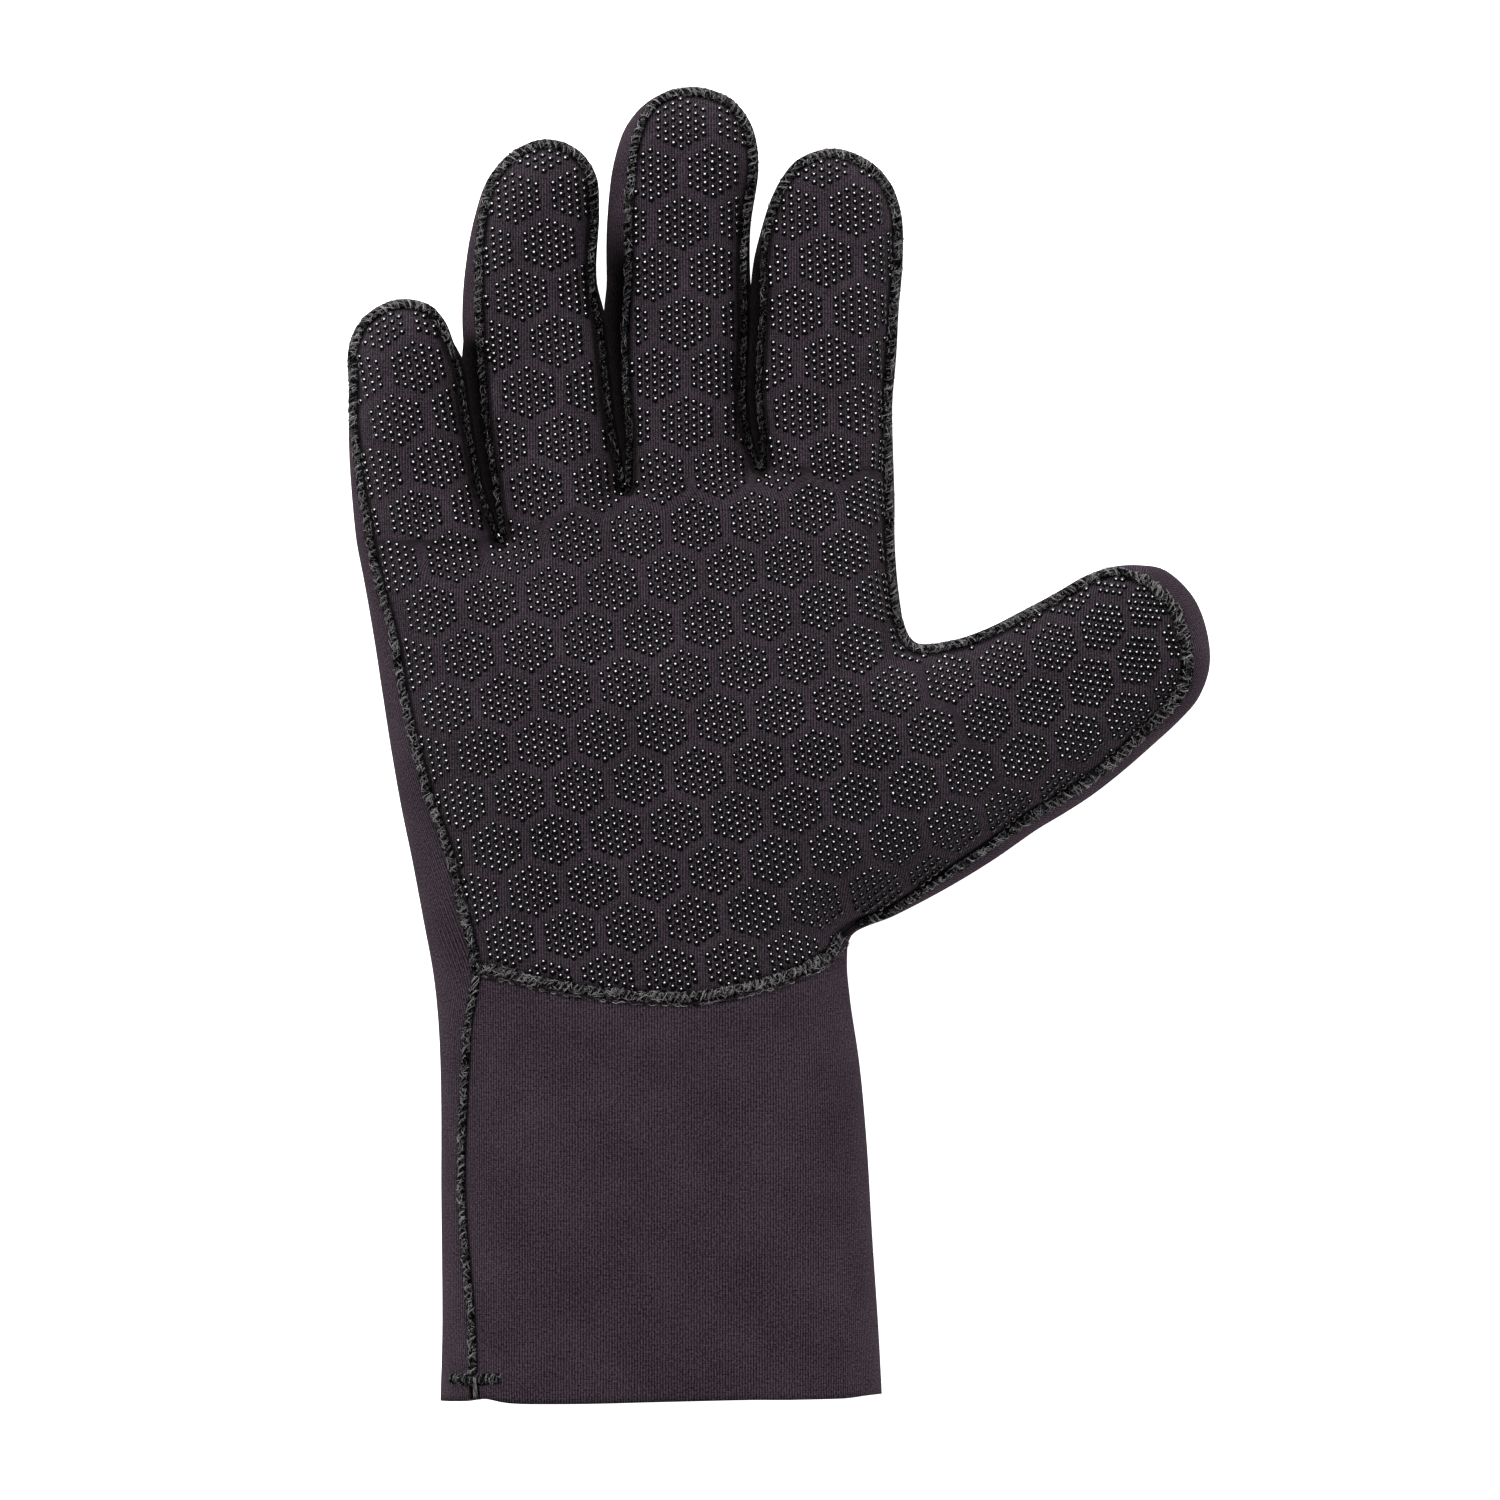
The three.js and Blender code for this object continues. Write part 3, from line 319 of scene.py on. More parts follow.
for way, bulge in HEEL_EDGE:
    out = bulge * FINGERS["thumb"]["width"] / np.linalg.norm(heel_way)
    x, y = heel[:2] + (notch - heel[:2]) * way + np.array([heel_way[1], -heel_way[0]]) * out
    add_corner(x, y, heel[2] * (1 - way ** 2.5))
for k, (up, out) in enumerate(CUFF_RIGHT):
    add_corner(out * CUFF_WIDTH / 2, up * CUFF_LENGTH, 0, k == 0 and "wrist right")
marks["hem left"] = 0
marks["hem right"] = len(corner_points) - 1

OUTLINE_STEPS = 24


def smooth_line(points, steps):
    """Centripetal curve through the points: a cubic on each stretch whose end slopes weigh the
    neighbours by the square root of their distance."""
    p = np.array(points, float)
    p = np.vstack([2 * p[0] - p[1], p, 2 * p[-1] - p[-2]])
    gap = np.linalg.norm(np.diff(p, axis=0), axis=1) ** 0.5
    a, b, c, d = p[:-3], p[1:-2], p[2:-1], p[3:]
    g0, g1, g2 = (gap[k:len(gap) - 2 + k, None] for k in range(3))
    start = ((b - a) / g0 - (c - a) / (g0 + g1) + (c - b) / g1) * g1
    end = ((c - b) / g1 - (d - b) / (g1 + g2) + (d - c) / g2) * g1
    t = (np.arange(steps) / steps)[None, :, None]
    b, c, start, end = (v[:, None] for v in (b, c, start, end))
    line = b + start * t + (3 * (c - b) - 2 * start - end) * t ** 2 + (2 * (b - c) + start + end) * t ** 3
    return np.vstack([line.reshape(-1, p.shape[1]), p[-2]])


outline = smooth_line(corner_points, OUTLINE_STEPS)


def length_along(line):
    return np.append(0, np.cumsum(np.linalg.norm(np.diff(line[:, :2], axis=0), axis=1)))


def spot_on(line, run, columns=2):
    return np.stack([np.interp(run, length_along(line), line[:, k]) for k in range(columns)], axis=-1)


# Direction into the glove at each point of the outline, taken over 1 mm.
outline_way = spot_on(outline, length_along(outline) + 0.5) - spot_on(outline, length_along(outline) - 0.5)
way_in = np.stack([outline_way[:, 1], -outline_way[:, 0]], axis=-1)

# The soft fingers touch in the lower part of each slot: there both sides move together and swell over
# one another, and their seams stay where they are. The slot's deep shadow is painted shade: the cloth
# strips beside it and their threads are darkened.
# Columns: finger before the slot, after it, height closed to, open from, painted shade black to, clear from.
SLOTS = [("little", "crotch 1", "ring", 219, 225, 221, 230), ("ring", "crotch 2", "middle", 227, 238, 232, 262),
         ("middle", "crotch 3", "index", 228, 250, 236, 256)]
SLOT_SWELL = 0.6
SLOT_EDGE = 0.5
slot_shade, swell = np.zeros(len(outline)), np.zeros(len(outline))
for before, crotch, after, closed, open_from, black_to, clear_from in SLOTS:
    bottom = marks[crotch] * OUTLINE_STEPS
    rows = [slice(marks[before + " right"] * OUTLINE_STEPS, bottom + 1),
            slice(bottom, marks[after + " left"] * OUTLINE_STEPS)]
    sides = [outline[row].copy() for row in rows]
    for row, side, other in ((rows[0], *sides), (rows[1], *sides[::-1])):
        gap = np.linalg.norm(side[:, None, :2] - other[None, :, :2], axis=2)
        facing = other[gap.argmin(axis=1)]
        share = np.clip((open_from - side[:, 1]) / (open_from - closed), 0, 1)
        share = share * share * (3 - 2 * share)
        outline[row, :2] += (facing - side)[:, :2] / 2 * share[:, None]
        move = gap.min(axis=1) / 2
        seam = outline[row, 2] + move * share
        if row is rows[0]:
            seam += (np.minimum(seam, SLOT_EDGE + move) - seam) * share
        height = side[:, 1] - outline[bottom, 1]
        outline[row, 2] = seam * (0.62 + 0.38 * np.clip(height / 12, 0, 1))
        swell[row] = SLOT_SWELL * share * np.clip(height / 1.2, 0, 1)
        # Painted shade of the slot: full black below black_to, none above clear_from.
        shade = np.clip((clear_from - side[:, 1]) / (clear_from - black_to), 0, 1)
        slot_shade[row] = shade * shade * (3 - 2 * shade)
outline_run = length_along(outline)


def outline_at(run):
    """Point of the outline, with the seam's distance, at a length along it."""
    return np.stack([np.interp(run, outline_run, outline[:, k]) for k in range(3)], axis=-1)


def outline_inward(run):
    """Direction from the outline into the glove."""
    inward = np.stack([np.interp(run, outline_run, way_in[:, k]) for k in range(2)], axis=-1)
    return inward / np.linalg.norm(inward, axis=-1, keepdims=True)


# The form: heights of the glove as it lies on its back, hollow and keeping the form of a hand.
# Stations up the hand by level (0 hem, 1 notch, 2 knuckles, 3 middle fingertip) and along the thumb.
CUFF_DEPTH = 43.5
PALM_DEPTH = 37
FINGER_DEPTH = 26
THUMB_DEPTH = 28
FINGER_LIFT = 11
THUMB_LIFT = 10
GROUND_SINK = 1.6
MIDDLE_SHARE = 0.48
PROFILE_POWER = 2.2
THUMB_WIDTH = FINGERS["thumb"]["width"]
THUMB_LENGTH = FINGERS["thumb"]["length"]
# Columns: level, depth, lift, width over which the side rounds
HAND_STATIONS = np.array([
    (0.0, CUFF_DEPTH, 0, 0.40 * CUFF_WIDTH),
    (0.5, 0.6 * CUFF_DEPTH + 0.4 * PALM_DEPTH, 0, 0.39 * CUFF_WIDTH),
    (1.0, PALM_DEPTH, 0, 0.35 * CUFF_WIDTH),
    (1.4, 1.03 * PALM_DEPTH, 0, 0.25 * KNUCKLE_WIDTH),
    (1.7, 0.92 * PALM_DEPTH, 0, 0.175 * KNUCKLE_WIDTH),
    (1.95, 1.12 * FINGER_DEPTH, 0.03 * FINGER_LIFT, 0.122 * KNUCKLE_WIDTH),
    (2.3, FINGER_DEPTH, 0.25 * FINGER_LIFT, 0.115 * KNUCKLE_WIDTH),
    (2.6, 0.95 * FINGER_DEPTH, 0.55 * FINGER_LIFT, 0.115 * KNUCKLE_WIDTH),
    (3.0, 0.86 * FINGER_DEPTH, FINGER_LIFT, 0.115 * KNUCKLE_WIDTH),
])
THUMB_STATIONS = np.array([
    (-0.6, PALM_DEPTH, 0, 0.50 * THUMB_WIDTH),
    (0.0, (PALM_DEPTH + THUMB_DEPTH) / 2, 0.08 * THUMB_LIFT, 0.40 * THUMB_WIDTH),
    (0.5, THUMB_DEPTH, 0.40 * THUMB_LIFT, 0.34 * THUMB_WIDTH),
    (1.0, 0.88 * THUMB_DEPTH, THUMB_LIFT, 0.32 * THUMB_WIDTH),
])


def ease(t):
    t = np.clip(t, 0, 1)
    return t * t * (3 - 2 * t)


def curve_through(places, values, at):
    """Smooth curve through a column that never overshoots a row: cubic on each stretch, with the
    harmonic mean of its neighbours' slopes at each row."""
    places, values = np.array(places, float), np.array(values, float)
    rise = np.diff(values) / np.diff(places)
    slope = np.zeros(len(values))
    product = rise[:-1] * rise[1:]
    total = rise[:-1] + rise[1:]
    slope[1:-1] = np.where(product > 0, 2 * product / np.where(total == 0, 1, total), 0)
    at = np.clip(at, places[0], places[-1])
    i = np.clip(np.searchsorted(places, at, side="right") - 1, 0, len(places) - 2)
    span = places[i + 1] - places[i]
    t = (at - places[i]) / span
    return (values[i] + (values[i + 1] - values[i]) * t * t * (3 - 2 * t)
            + span * t * (1 - t) * ((1 - t) * slope[i] - t * slope[i + 1]))


def sizes_at(x, y):
    """Depth, lift and side width at a place, blended from the hand into the thumb."""
    level = np.where(y < CUFF_LENGTH, y / CUFF_LENGTH, np.where(
        y < CUFF_LENGTH + PALM_LENGTH, 1 + (y - CUFF_LENGTH) / PALM_LENGTH,
        2 + (y - CUFF_LENGTH - PALM_LENGTH) / FINGERS["middle"]["length"]))
    thumb = FINGERS["thumb"]
    along = (x - thumb["base"][0]) * thumb["along"][0] + (y - thumb["base"][1]) * thumb["along"][1]
    across = (x - thumb["base"][0]) * thumb["across"][0] + (y - thumb["base"][1]) * thumb["across"][1]
    half = THUMB_WIDTH / 2
    share = ease((along + 1.1 * half) / (1.6 * half)) * ease((across + 2 * half) / half)
    return [
        curve_through(HAND_STATIONS[:, 0], HAND_STATIONS[:, k], level) * (1 - share)
        + curve_through(THUMB_STATIONS[:, 0], THUMB_STATIONS[:, k], along / THUMB_LENGTH) * share
        for k in (1, 2, 3)
    ]


FAR_POWER = 8
far_run = np.arange(0.25, outline_run[-1], 0.5)
far_line = np.vstack([
    outline_at(np.zeros(1))[:, :2] - [0, 1] * np.arange(80.25, 0, -0.5)[:, None],
    outline_at(far_run)[:, :2],
    outline_at(outline_run[-1:])[:, :2] - [0, 1] * np.arange(0.25, 80, 0.5)[:, None],
])
side_angles = np.linspace(-np.pi / 2, np.pi / 2, 20001)
FAR_SCALE = np.sum(np.cos(side_angles) ** (FAR_POWER - 2)) * (side_angles[1] - side_angles[0])


def edge_distance(x, y):
    """Distance to the outline, and a softened one without ridges: the mean of the outline's nearness
    to the 8th power, scaled to be exact beside a straight edge."""
    x, y = np.ravel(x), np.ravel(y)
    near, soft = np.empty(len(x)), np.empty(len(x))
    a = outline[:-1, :2]
    step = np.diff(outline[:, :2], axis=0)
    length = np.sum(step ** 2, axis=1)
    for i in range(0, len(x), 1500):
        px, py = x[i:i + 1500, None], y[i:i + 1500, None]
        t = np.clip(((px - a[:, 0]) * step[:, 0] + (py - a[:, 1]) * step[:, 1]) / length, 0, 1)
        square = (px - a[:, 0] - t * step[:, 0]) ** 2 + (py - a[:, 1] - t * step[:, 1]) ** 2
        near[i:i + 1500] = np.sqrt(square.min(axis=1))
        far = (px - far_line[:, 0]) ** 2 + (py - far_line[:, 1]) ** 2
        total = np.sum(0.5 * np.maximum(far, 0.01) ** (-FAR_POWER / 2), axis=1)
        soft[i:i + 1500] = (total / FAR_SCALE) ** (-1 / (FAR_POWER - 1))
    return near, soft


def rise_share(share):
    """Share of the full height reached at a share of the side width."""
    return (1 - (1 - np.clip(share, 0, 1)) ** PROFILE_POWER) ** (1 / PROFILE_POWER)


def rest_on_ground(height):
    """Keeps a height above the ground, with a soft bend."""
    bend = np.clip(height + GROUND_SINK, 0, 2 * GROUND_SINK) ** 2 / (4 * GROUND_SINK)
    return np.where(height > GROUND_SINK, height, bend)


def skin_height(x, y, side, distance=None):
    """Height of the outer face. side is 1 on the palm side, -1 on the back. Its distance from the
    outline is worked out unless it is given."""
    depth, lift, width = sizes_at(x, y)
    if distance is None:
        near, soft = edge_distance(x, y)
        near, soft = near.reshape(np.shape(x)), soft.reshape(np.shape(x))
        distance = near + (np.minimum(soft, 1.2 * near) - near) * ease((near / width - 0.15) / 0.5)
    middle = lift + MIDDLE_SHARE * depth
    rise = rise_share(distance / width)
    if side > 0:
        return middle + (1 - MIDDLE_SHARE) * depth * rise
    return rest_on_ground(middle - (MIDDLE_SHARE * depth + GROUND_SINK) * rise)


# Grids of the panels: rows and columns of places over the plan, closer together near the edges.
CUFF_ROWS = 70
PALM_ROWS = 60
KNUCKLE_ROWS = 26
FINGER_ROW_COUNT = 60
THUMB_ROW_COUNT = 44
STRIP_COLUMNS = 22
SEAM_GAP = 0.3
WRIST_DROP = 10.3
HEM_DROP = 1.0
WRIST_CURVE = np.array([(0, 0), (0.06, 0.10), (0.18, 0.41), (0.30, 0.67), (0.45, 0.88), (0.60, 1), (0.74, 0.90),
                        (0.86, 0.70), (0.95, 0.42), (1, 0)])
HEM_CURVE = np.array([(0, 0), (0.10, 0), (0.15, 0.25), (0.36, 0.50), (0.50, 0.40), (0.72, 0.30), (0.82, 0.50),
                      (0.92, 0.55), (1, 0)])


def crowd(count, weight=0.6):
    """Shares from 0 to 1 that crowd towards both ends."""
    t = np.linspace(0, 1, count + 1)
    return t + ((1 - np.cos(np.pi * t)) / 2 - t) * weight


STRETCHES = [
    ("cuff left", "hem left", "wrist left", np.linspace(0, 1, CUFF_ROWS + 1)),
    ("palm left", "wrist left", "thumb row", np.linspace(0, 1, PALM_ROWS + 1)),
    ("knuckle left", "thumb row", "little base", np.linspace(0, 1, KNUCKLE_ROWS + 1)),
]
for finger, before, after in (("little", "little base", "crotch 1"), ("ring", "crotch 1", "crotch 2"),
                              ("middle", "crotch 2", "crotch 3"), ("index", "crotch 3", "index base")):
    STRETCHES += [
        (finger + " up", before, finger + " left", crowd(FINGER_ROW_COUNT)),
        (finger + " tip", finger + " left", finger + " right", np.linspace(0, 1, STRIP_COLUMNS + 1)),
        (finger + " down", finger + " right", after, crowd(FINGER_ROW_COUNT)),
    ]
STRETCHES += [
    ("knuckle right", "index base", "thumb crotch", np.linspace(0, 1, KNUCKLE_ROWS + 1)),
    ("thumb up", "thumb crotch", "thumb left", crowd(THUMB_ROW_COUNT)),
    ("thumb tip", "thumb left", "thumb right", np.linspace(0, 1, STRIP_COLUMNS + 1)),
    ("thumb down", "thumb right", "thumb base", crowd(THUMB_ROW_COUNT)),
    ("palm right", "thumb base", "wrist right", np.linspace(0, 1, PALM_ROWS + 1)),
    ("cuff right", "wrist right", "hem right", np.linspace(0, 1, CUFF_ROWS + 1)),
]
stretch_run = {}
for name, start, end, shares in STRETCHES:
    first, last = outline_run[marks[start] * OUTLINE_STEPS], outline_run[marks[end] * OUTLINE_STEPS]
    stretch_run[name] = first + (last - first) * shares


def in_from(run, distance):
    """Places (x, y, distance, run) at a distance in from the outline, which swells in the slots."""
    out = np.interp(run, outline_run, swell) * np.clip(1 - distance / 1.2, 0, 1)
    spot = outline_at(run)[..., :2] + outline_inward(run) * np.expand_dims(distance - out, -1)
    return np.concatenate([spot, np.stack([np.broadcast_to(distance, np.shape(run)), run], -1)], -1)


def on_outline(name):
    run = stretch_run[name]
    return in_from(run, np.zeros(len(run)))


def seam_distance(run, shift=0.0):
    """How far the seam lies in from the outline, moved over the surface by shift."""
    spot = outline_at(run)
    width = sizes_at(spot[..., 0], spot[..., 1])[2]
    return spot[..., 2] + shift * rise_share(spot[..., 2] / width)


def at_seam(shift):
    return lambda name: in_from(stretch_run[name], seam_distance(stretch_run[name], shift))


def straight(a, b, shares):
    """Row of places between two corners; those between have no known distance."""
    row = a + (b - a) * shares[:, None]
    row[1:-1, 2:] = np.nan
    row[0], row[-1] = a, b
    return row


def fill(bottom, top, left, right, across, up):
    """Grid between four edges that share their corners: the sum of the two ruled sheets less the one
    ruled by the corners."""
    u, v = across[None, :, None], up[:, None, None]
    grid = (bottom[None] * (1 - v) + top[None] * v + left[:, None] * (1 - u) + right[:, None] * u
            - (bottom[0] * (1 - u) + bottom[-1] * u) * (1 - v) - (top[0] * (1 - u) + top[-1] * u) * v)
    grid[..., 2:] = np.nan
    grid[0], grid[-1], grid[:, 0], grid[:, -1] = bottom, top, left, right
    return grid


strip = crowd(STRIP_COLUMNS)
HAND_STRIPS = np.unique(np.concatenate([(strip + k) / 4 for k in range(4)]).round(9))
WHOLE_STRIPS = np.unique(np.concatenate([(strip + k) / 5 for k in range(5)]).round(9))


def join_rows(rows):
    return np.vstack([rows[0]] + [row[1:] for row in rows[1:]])


def bowed(row, curve, drop, shares):
    """A row of places moved towards the hem along a curve."""
    row = row.copy()
    row[:, 1] -= drop * curve_through(curve[:, 0], curve[:, 1], shares)
    return row


def relaxed(grid, rounds=80):
    """Evens out the inner places of a grid, each to the mean of its four neighbours."""
    places = grid[..., :2]
    for _ in range(rounds):
        places[1:-1, 1:-1] = (places[:-2, 1:-1] + places[2:, 1:-1] + places[1:-1, :-2] + places[1:-1, 2:]) / 4
    return grid


def spread_along(row, count):
    """Places at count equal steps along a row."""
    run = length_along(row)
    return np.stack([np.interp(np.linspace(0, run[-1], count + 1), run, row[:, k]) for k in range(4)], axis=-1)


def hand_grids(edge, wrist_row, turn=1.0):
    """Grids of the hand above the wrist row, for a panel whose edges lie as given. The palm's lower
    right corner lies at the share turn of the wrist row."""
    left, right = edge("palm left"), edge("palm right")[::-1]
    left[0], right[0] = wrist_row[0], wrist_row[-1]
    if turn < 1:
        right = spread_along(np.vstack([wrist_row[WHOLE_STRIPS >= turn], right[1:]]), PALM_ROWS)
        wrist_row = spread_along(wrist_row[WHOLE_STRIPS <= turn], len(WHOLE_STRIPS) - 1)
        right[0] = wrist_row[-1]
    thumb_up, thumb_down = edge("thumb up"), edge("thumb down")[::-1]
    crossing = join_rows([straight(left[-1], thumb_up[0], HAND_STRIPS), straight(thumb_up[0], right[-1], strip)])
    fingers = [[edge(f"{name} up"), edge(f"{name} tip"), edge(f"{name} down")[::-1]]
               for name in ("little", "ring", "middle", "index")]
    bases, start = [], fingers[0][0][0]
    for up, _, down in fingers:
        bases.append(straight(start, down[0], strip))
        start = down[0]
    for finger, base in zip(fingers, bases):
        finger[0][0] = base[0]
    count = STRIP_COLUMNS
    grids = {
        "palm": relaxed(fill(wrist_row, crossing, left, right, WHOLE_STRIPS, np.linspace(0, 1, PALM_ROWS + 1))),
        "knuckles": fill(crossing[:4 * count + 1], join_rows(bases), edge("knuckle left"),
                         edge("knuckle right")[::-1], HAND_STRIPS, np.linspace(0, 1, KNUCKLE_ROWS + 1)),
        "thumb": fill(crossing[4 * count:], edge("thumb tip"), thumb_up, thumb_down, strip, crowd(THUMB_ROW_COUNT)),
    }
    for name, (up, tip, down), base in zip(FINGERS, fingers, bases):
        grids[name] = fill(base, tip, up, down, strip, crowd(FINGER_ROW_COUNT))
    return grids


wrist_left = stretch_run["palm left"][:1]
wrist_right = stretch_run["palm right"][-1:]
seam_in, seam_out = at_seam(SEAM_GAP / 2), at_seam(-SEAM_GAP / 2)


def seam_corner(run, shift, lift):
    spot = in_from(run, seam_distance(run, shift))[0]
    spot[1] += lift
    return spot


wrist_above = bowed(straight(seam_corner(wrist_left, SEAM_GAP / 2, SEAM_GAP / 2),
                             seam_corner(wrist_right, SEAM_GAP / 2, SEAM_GAP), WHOLE_STRIPS),
                    WRIST_CURVE, WRIST_DROP, WHOLE_STRIPS)
wrist_below = bowed(straight(seam_corner(wrist_left, SEAM_GAP / 2, -SEAM_GAP / 2),
                             seam_corner(wrist_right, -SEAM_GAP / 2, 0), WHOLE_STRIPS),
                    WRIST_CURVE, WRIST_DROP + SEAM_GAP, WHOLE_STRIPS)
wrist_back = straight(in_from(wrist_left, np.zeros(1))[0], in_from(wrist_right, np.zeros(1))[0], WHOLE_STRIPS)


def cuff_grid(left_edge, right_edge, wrist_row):
    """Grid of the cuff from the hem up to the wrist row."""
    left, right = left_edge("cuff left"), right_edge("cuff right")[::-1]
    left[-1], right[-1] = wrist_row[0], wrist_row[-1]
    hem_start = (left[0, 0] + CUFF_WIDTH / 2) / CUFF_WIDTH
    drop = curve_through(HEM_CURVE[:, 0], HEM_CURVE[:, 1], hem_start + (1 - hem_start) * WHOLE_STRIPS)
    hem = straight(left[0], right[0], WHOLE_STRIPS)
    hem[:, 1] -= HEM_DROP * (drop - drop[0] * (1 - WHOLE_STRIPS) - drop[-1] * WHOLE_STRIPS)
    return fill(hem, wrist_row, left, right, WHOLE_STRIPS, np.linspace(0, 1, CUFF_ROWS + 1))


def rim_grid(columns=8):
    """Strip between the outline and the seam, the whole way round."""
    run = np.unique(np.concatenate([stretch_run[name] for name, *_ in STRETCHES]).round(6))
    edge = seam_distance(run, -SEAM_GAP / 2)
    share = 1 - np.cos(np.linspace(0, np.pi / 2, columns + 1))
    return in_from(run[:, None] + 0 * share, edge[:, None] * share)


def seam_parts():
    """The three seams as lines of places: cuff, palm and wrist."""
    low, high = outline_run[marks["wrist left"] * OUTLINE_STEPS], outline_run[marks["wrist right"] * OUTLINE_STEPS]
    cuff, palm = np.arange(0, low, 0.25), np.arange(low, high, 0.25)
    return (in_from(cuff, seam_distance(cuff))[:, :2], in_from(palm, seam_distance(palm))[:, :2],
            smooth_line((wrist_above[:, :2] + wrist_below[:, :2]) / 2, 6))


cuff_seam_line, palm_seam_line, wrist_seam_line = seam_parts()
all_seams = np.vstack([cuff_seam_line, palm_seam_line, wrist_seam_line])


def seam_nearness(x, y):
    """Distance to the nearest seam, exact within 6 mm and rough beyond."""
    found = np.full(len(x), 9.0)
    coarse, fine = all_seams[::10], all_seams
    for i in range(0, len(x), 3000):
        here = slice(i, i + 3000)
        rough = ((x[here, None] - coarse[:, 0]) ** 2 + (y[here, None] - coarse[:, 1]) ** 2).min(axis=1)
        found[here] = np.sqrt(rough)
    close = np.flatnonzero(found < 7.5)
    for i in range(0, len(close), 1000):
        here = close[i:i + 1000]
        found[here] = np.sqrt(((x[here, None] - fine[:, 0]) ** 2 + (y[here, None] - fine[:, 1]) ** 2).min(axis=1))
    return found


def slack(x, y):
    """Soft unevenness of the cloth: crossing waves, and the small fold beside the bar tack."""
    wave = (0.35 * np.sin(x / 11.0 + 0.6 * np.sin(y / 23.0)) * np.sin(y / 17.0 + 1.3)
            + 0.25 * np.sin((x + y) / 8.7 + 0.5) * np.sin((x - 0.6 * y) / 13.0))
    fold = -0.7 * np.exp(-(((y - 11.0 + 0.25 * (x + 46)) / 0.8) ** 2)) * ease((-38 - x) / 3)
    return wave + fold


def skin(places, side):
    """Outer face over an array of places (x, y, known distance, run), in millimetres."""
    x, y, known = places[:, 0], places[:, 1], places[:, 2]
    open_places = np.isnan(known)
    distance = known.copy()
    width = sizes_at(x, y)[2]
    near, soft = edge_distance(x[open_places], y[open_places])
    blend = ease((near / width[open_places] - 0.15) / 0.5)
    distance[open_places] = near + (np.minimum(soft, 1.2 * near) - near) * blend
    z = skin_height(x, y, side, distance)
    lift = ease(distance / width / 0.6) if side > 0 else 0
    return np.stack([x, y, z + lift * slack(x, y)], axis=-1)


def unrolled(points, grid, across, along):
    """Places of a grid on the flat cloth: where it bends down, lengths of surface replace those seen
    from above, counted from the grid's middle."""
    flat = np.empty(points.shape[:2] + (2,))
    for axis, way in ((1, across), (0, along)):
        way = np.array(way)
        plan = np.diff(points[..., :2] @ way, axis=axis)
        step = np.sign(plan) * np.hypot(plan, np.diff(points[..., 2], axis=axis))
        pad = [(0, 0), (0, 0)]
        pad[axis] = (1, 0)
        run = np.cumsum(np.pad(step, pad), axis=axis)
        middle = [grid.shape[axis] // 2]
        flat[..., 1 - axis] = run - np.take(run, middle, axis=axis) + np.take(points[..., :2] @ way, middle, axis=axis)
    return flat[..., :1] * across + flat[..., 1:] * along


def unrolled_rim(points, grid):
    """Places of the rim on the flat cloth: straight out from the outline by the length of surface."""
    arc = np.cumsum(np.pad(np.linalg.norm(np.diff(points, axis=1), axis=-1), ((0, 0), (1, 0))), axis=1)
    return points[:, :1, :2] - outline_inward(grid[:, 0, 3])[:, None] * arc[..., None]


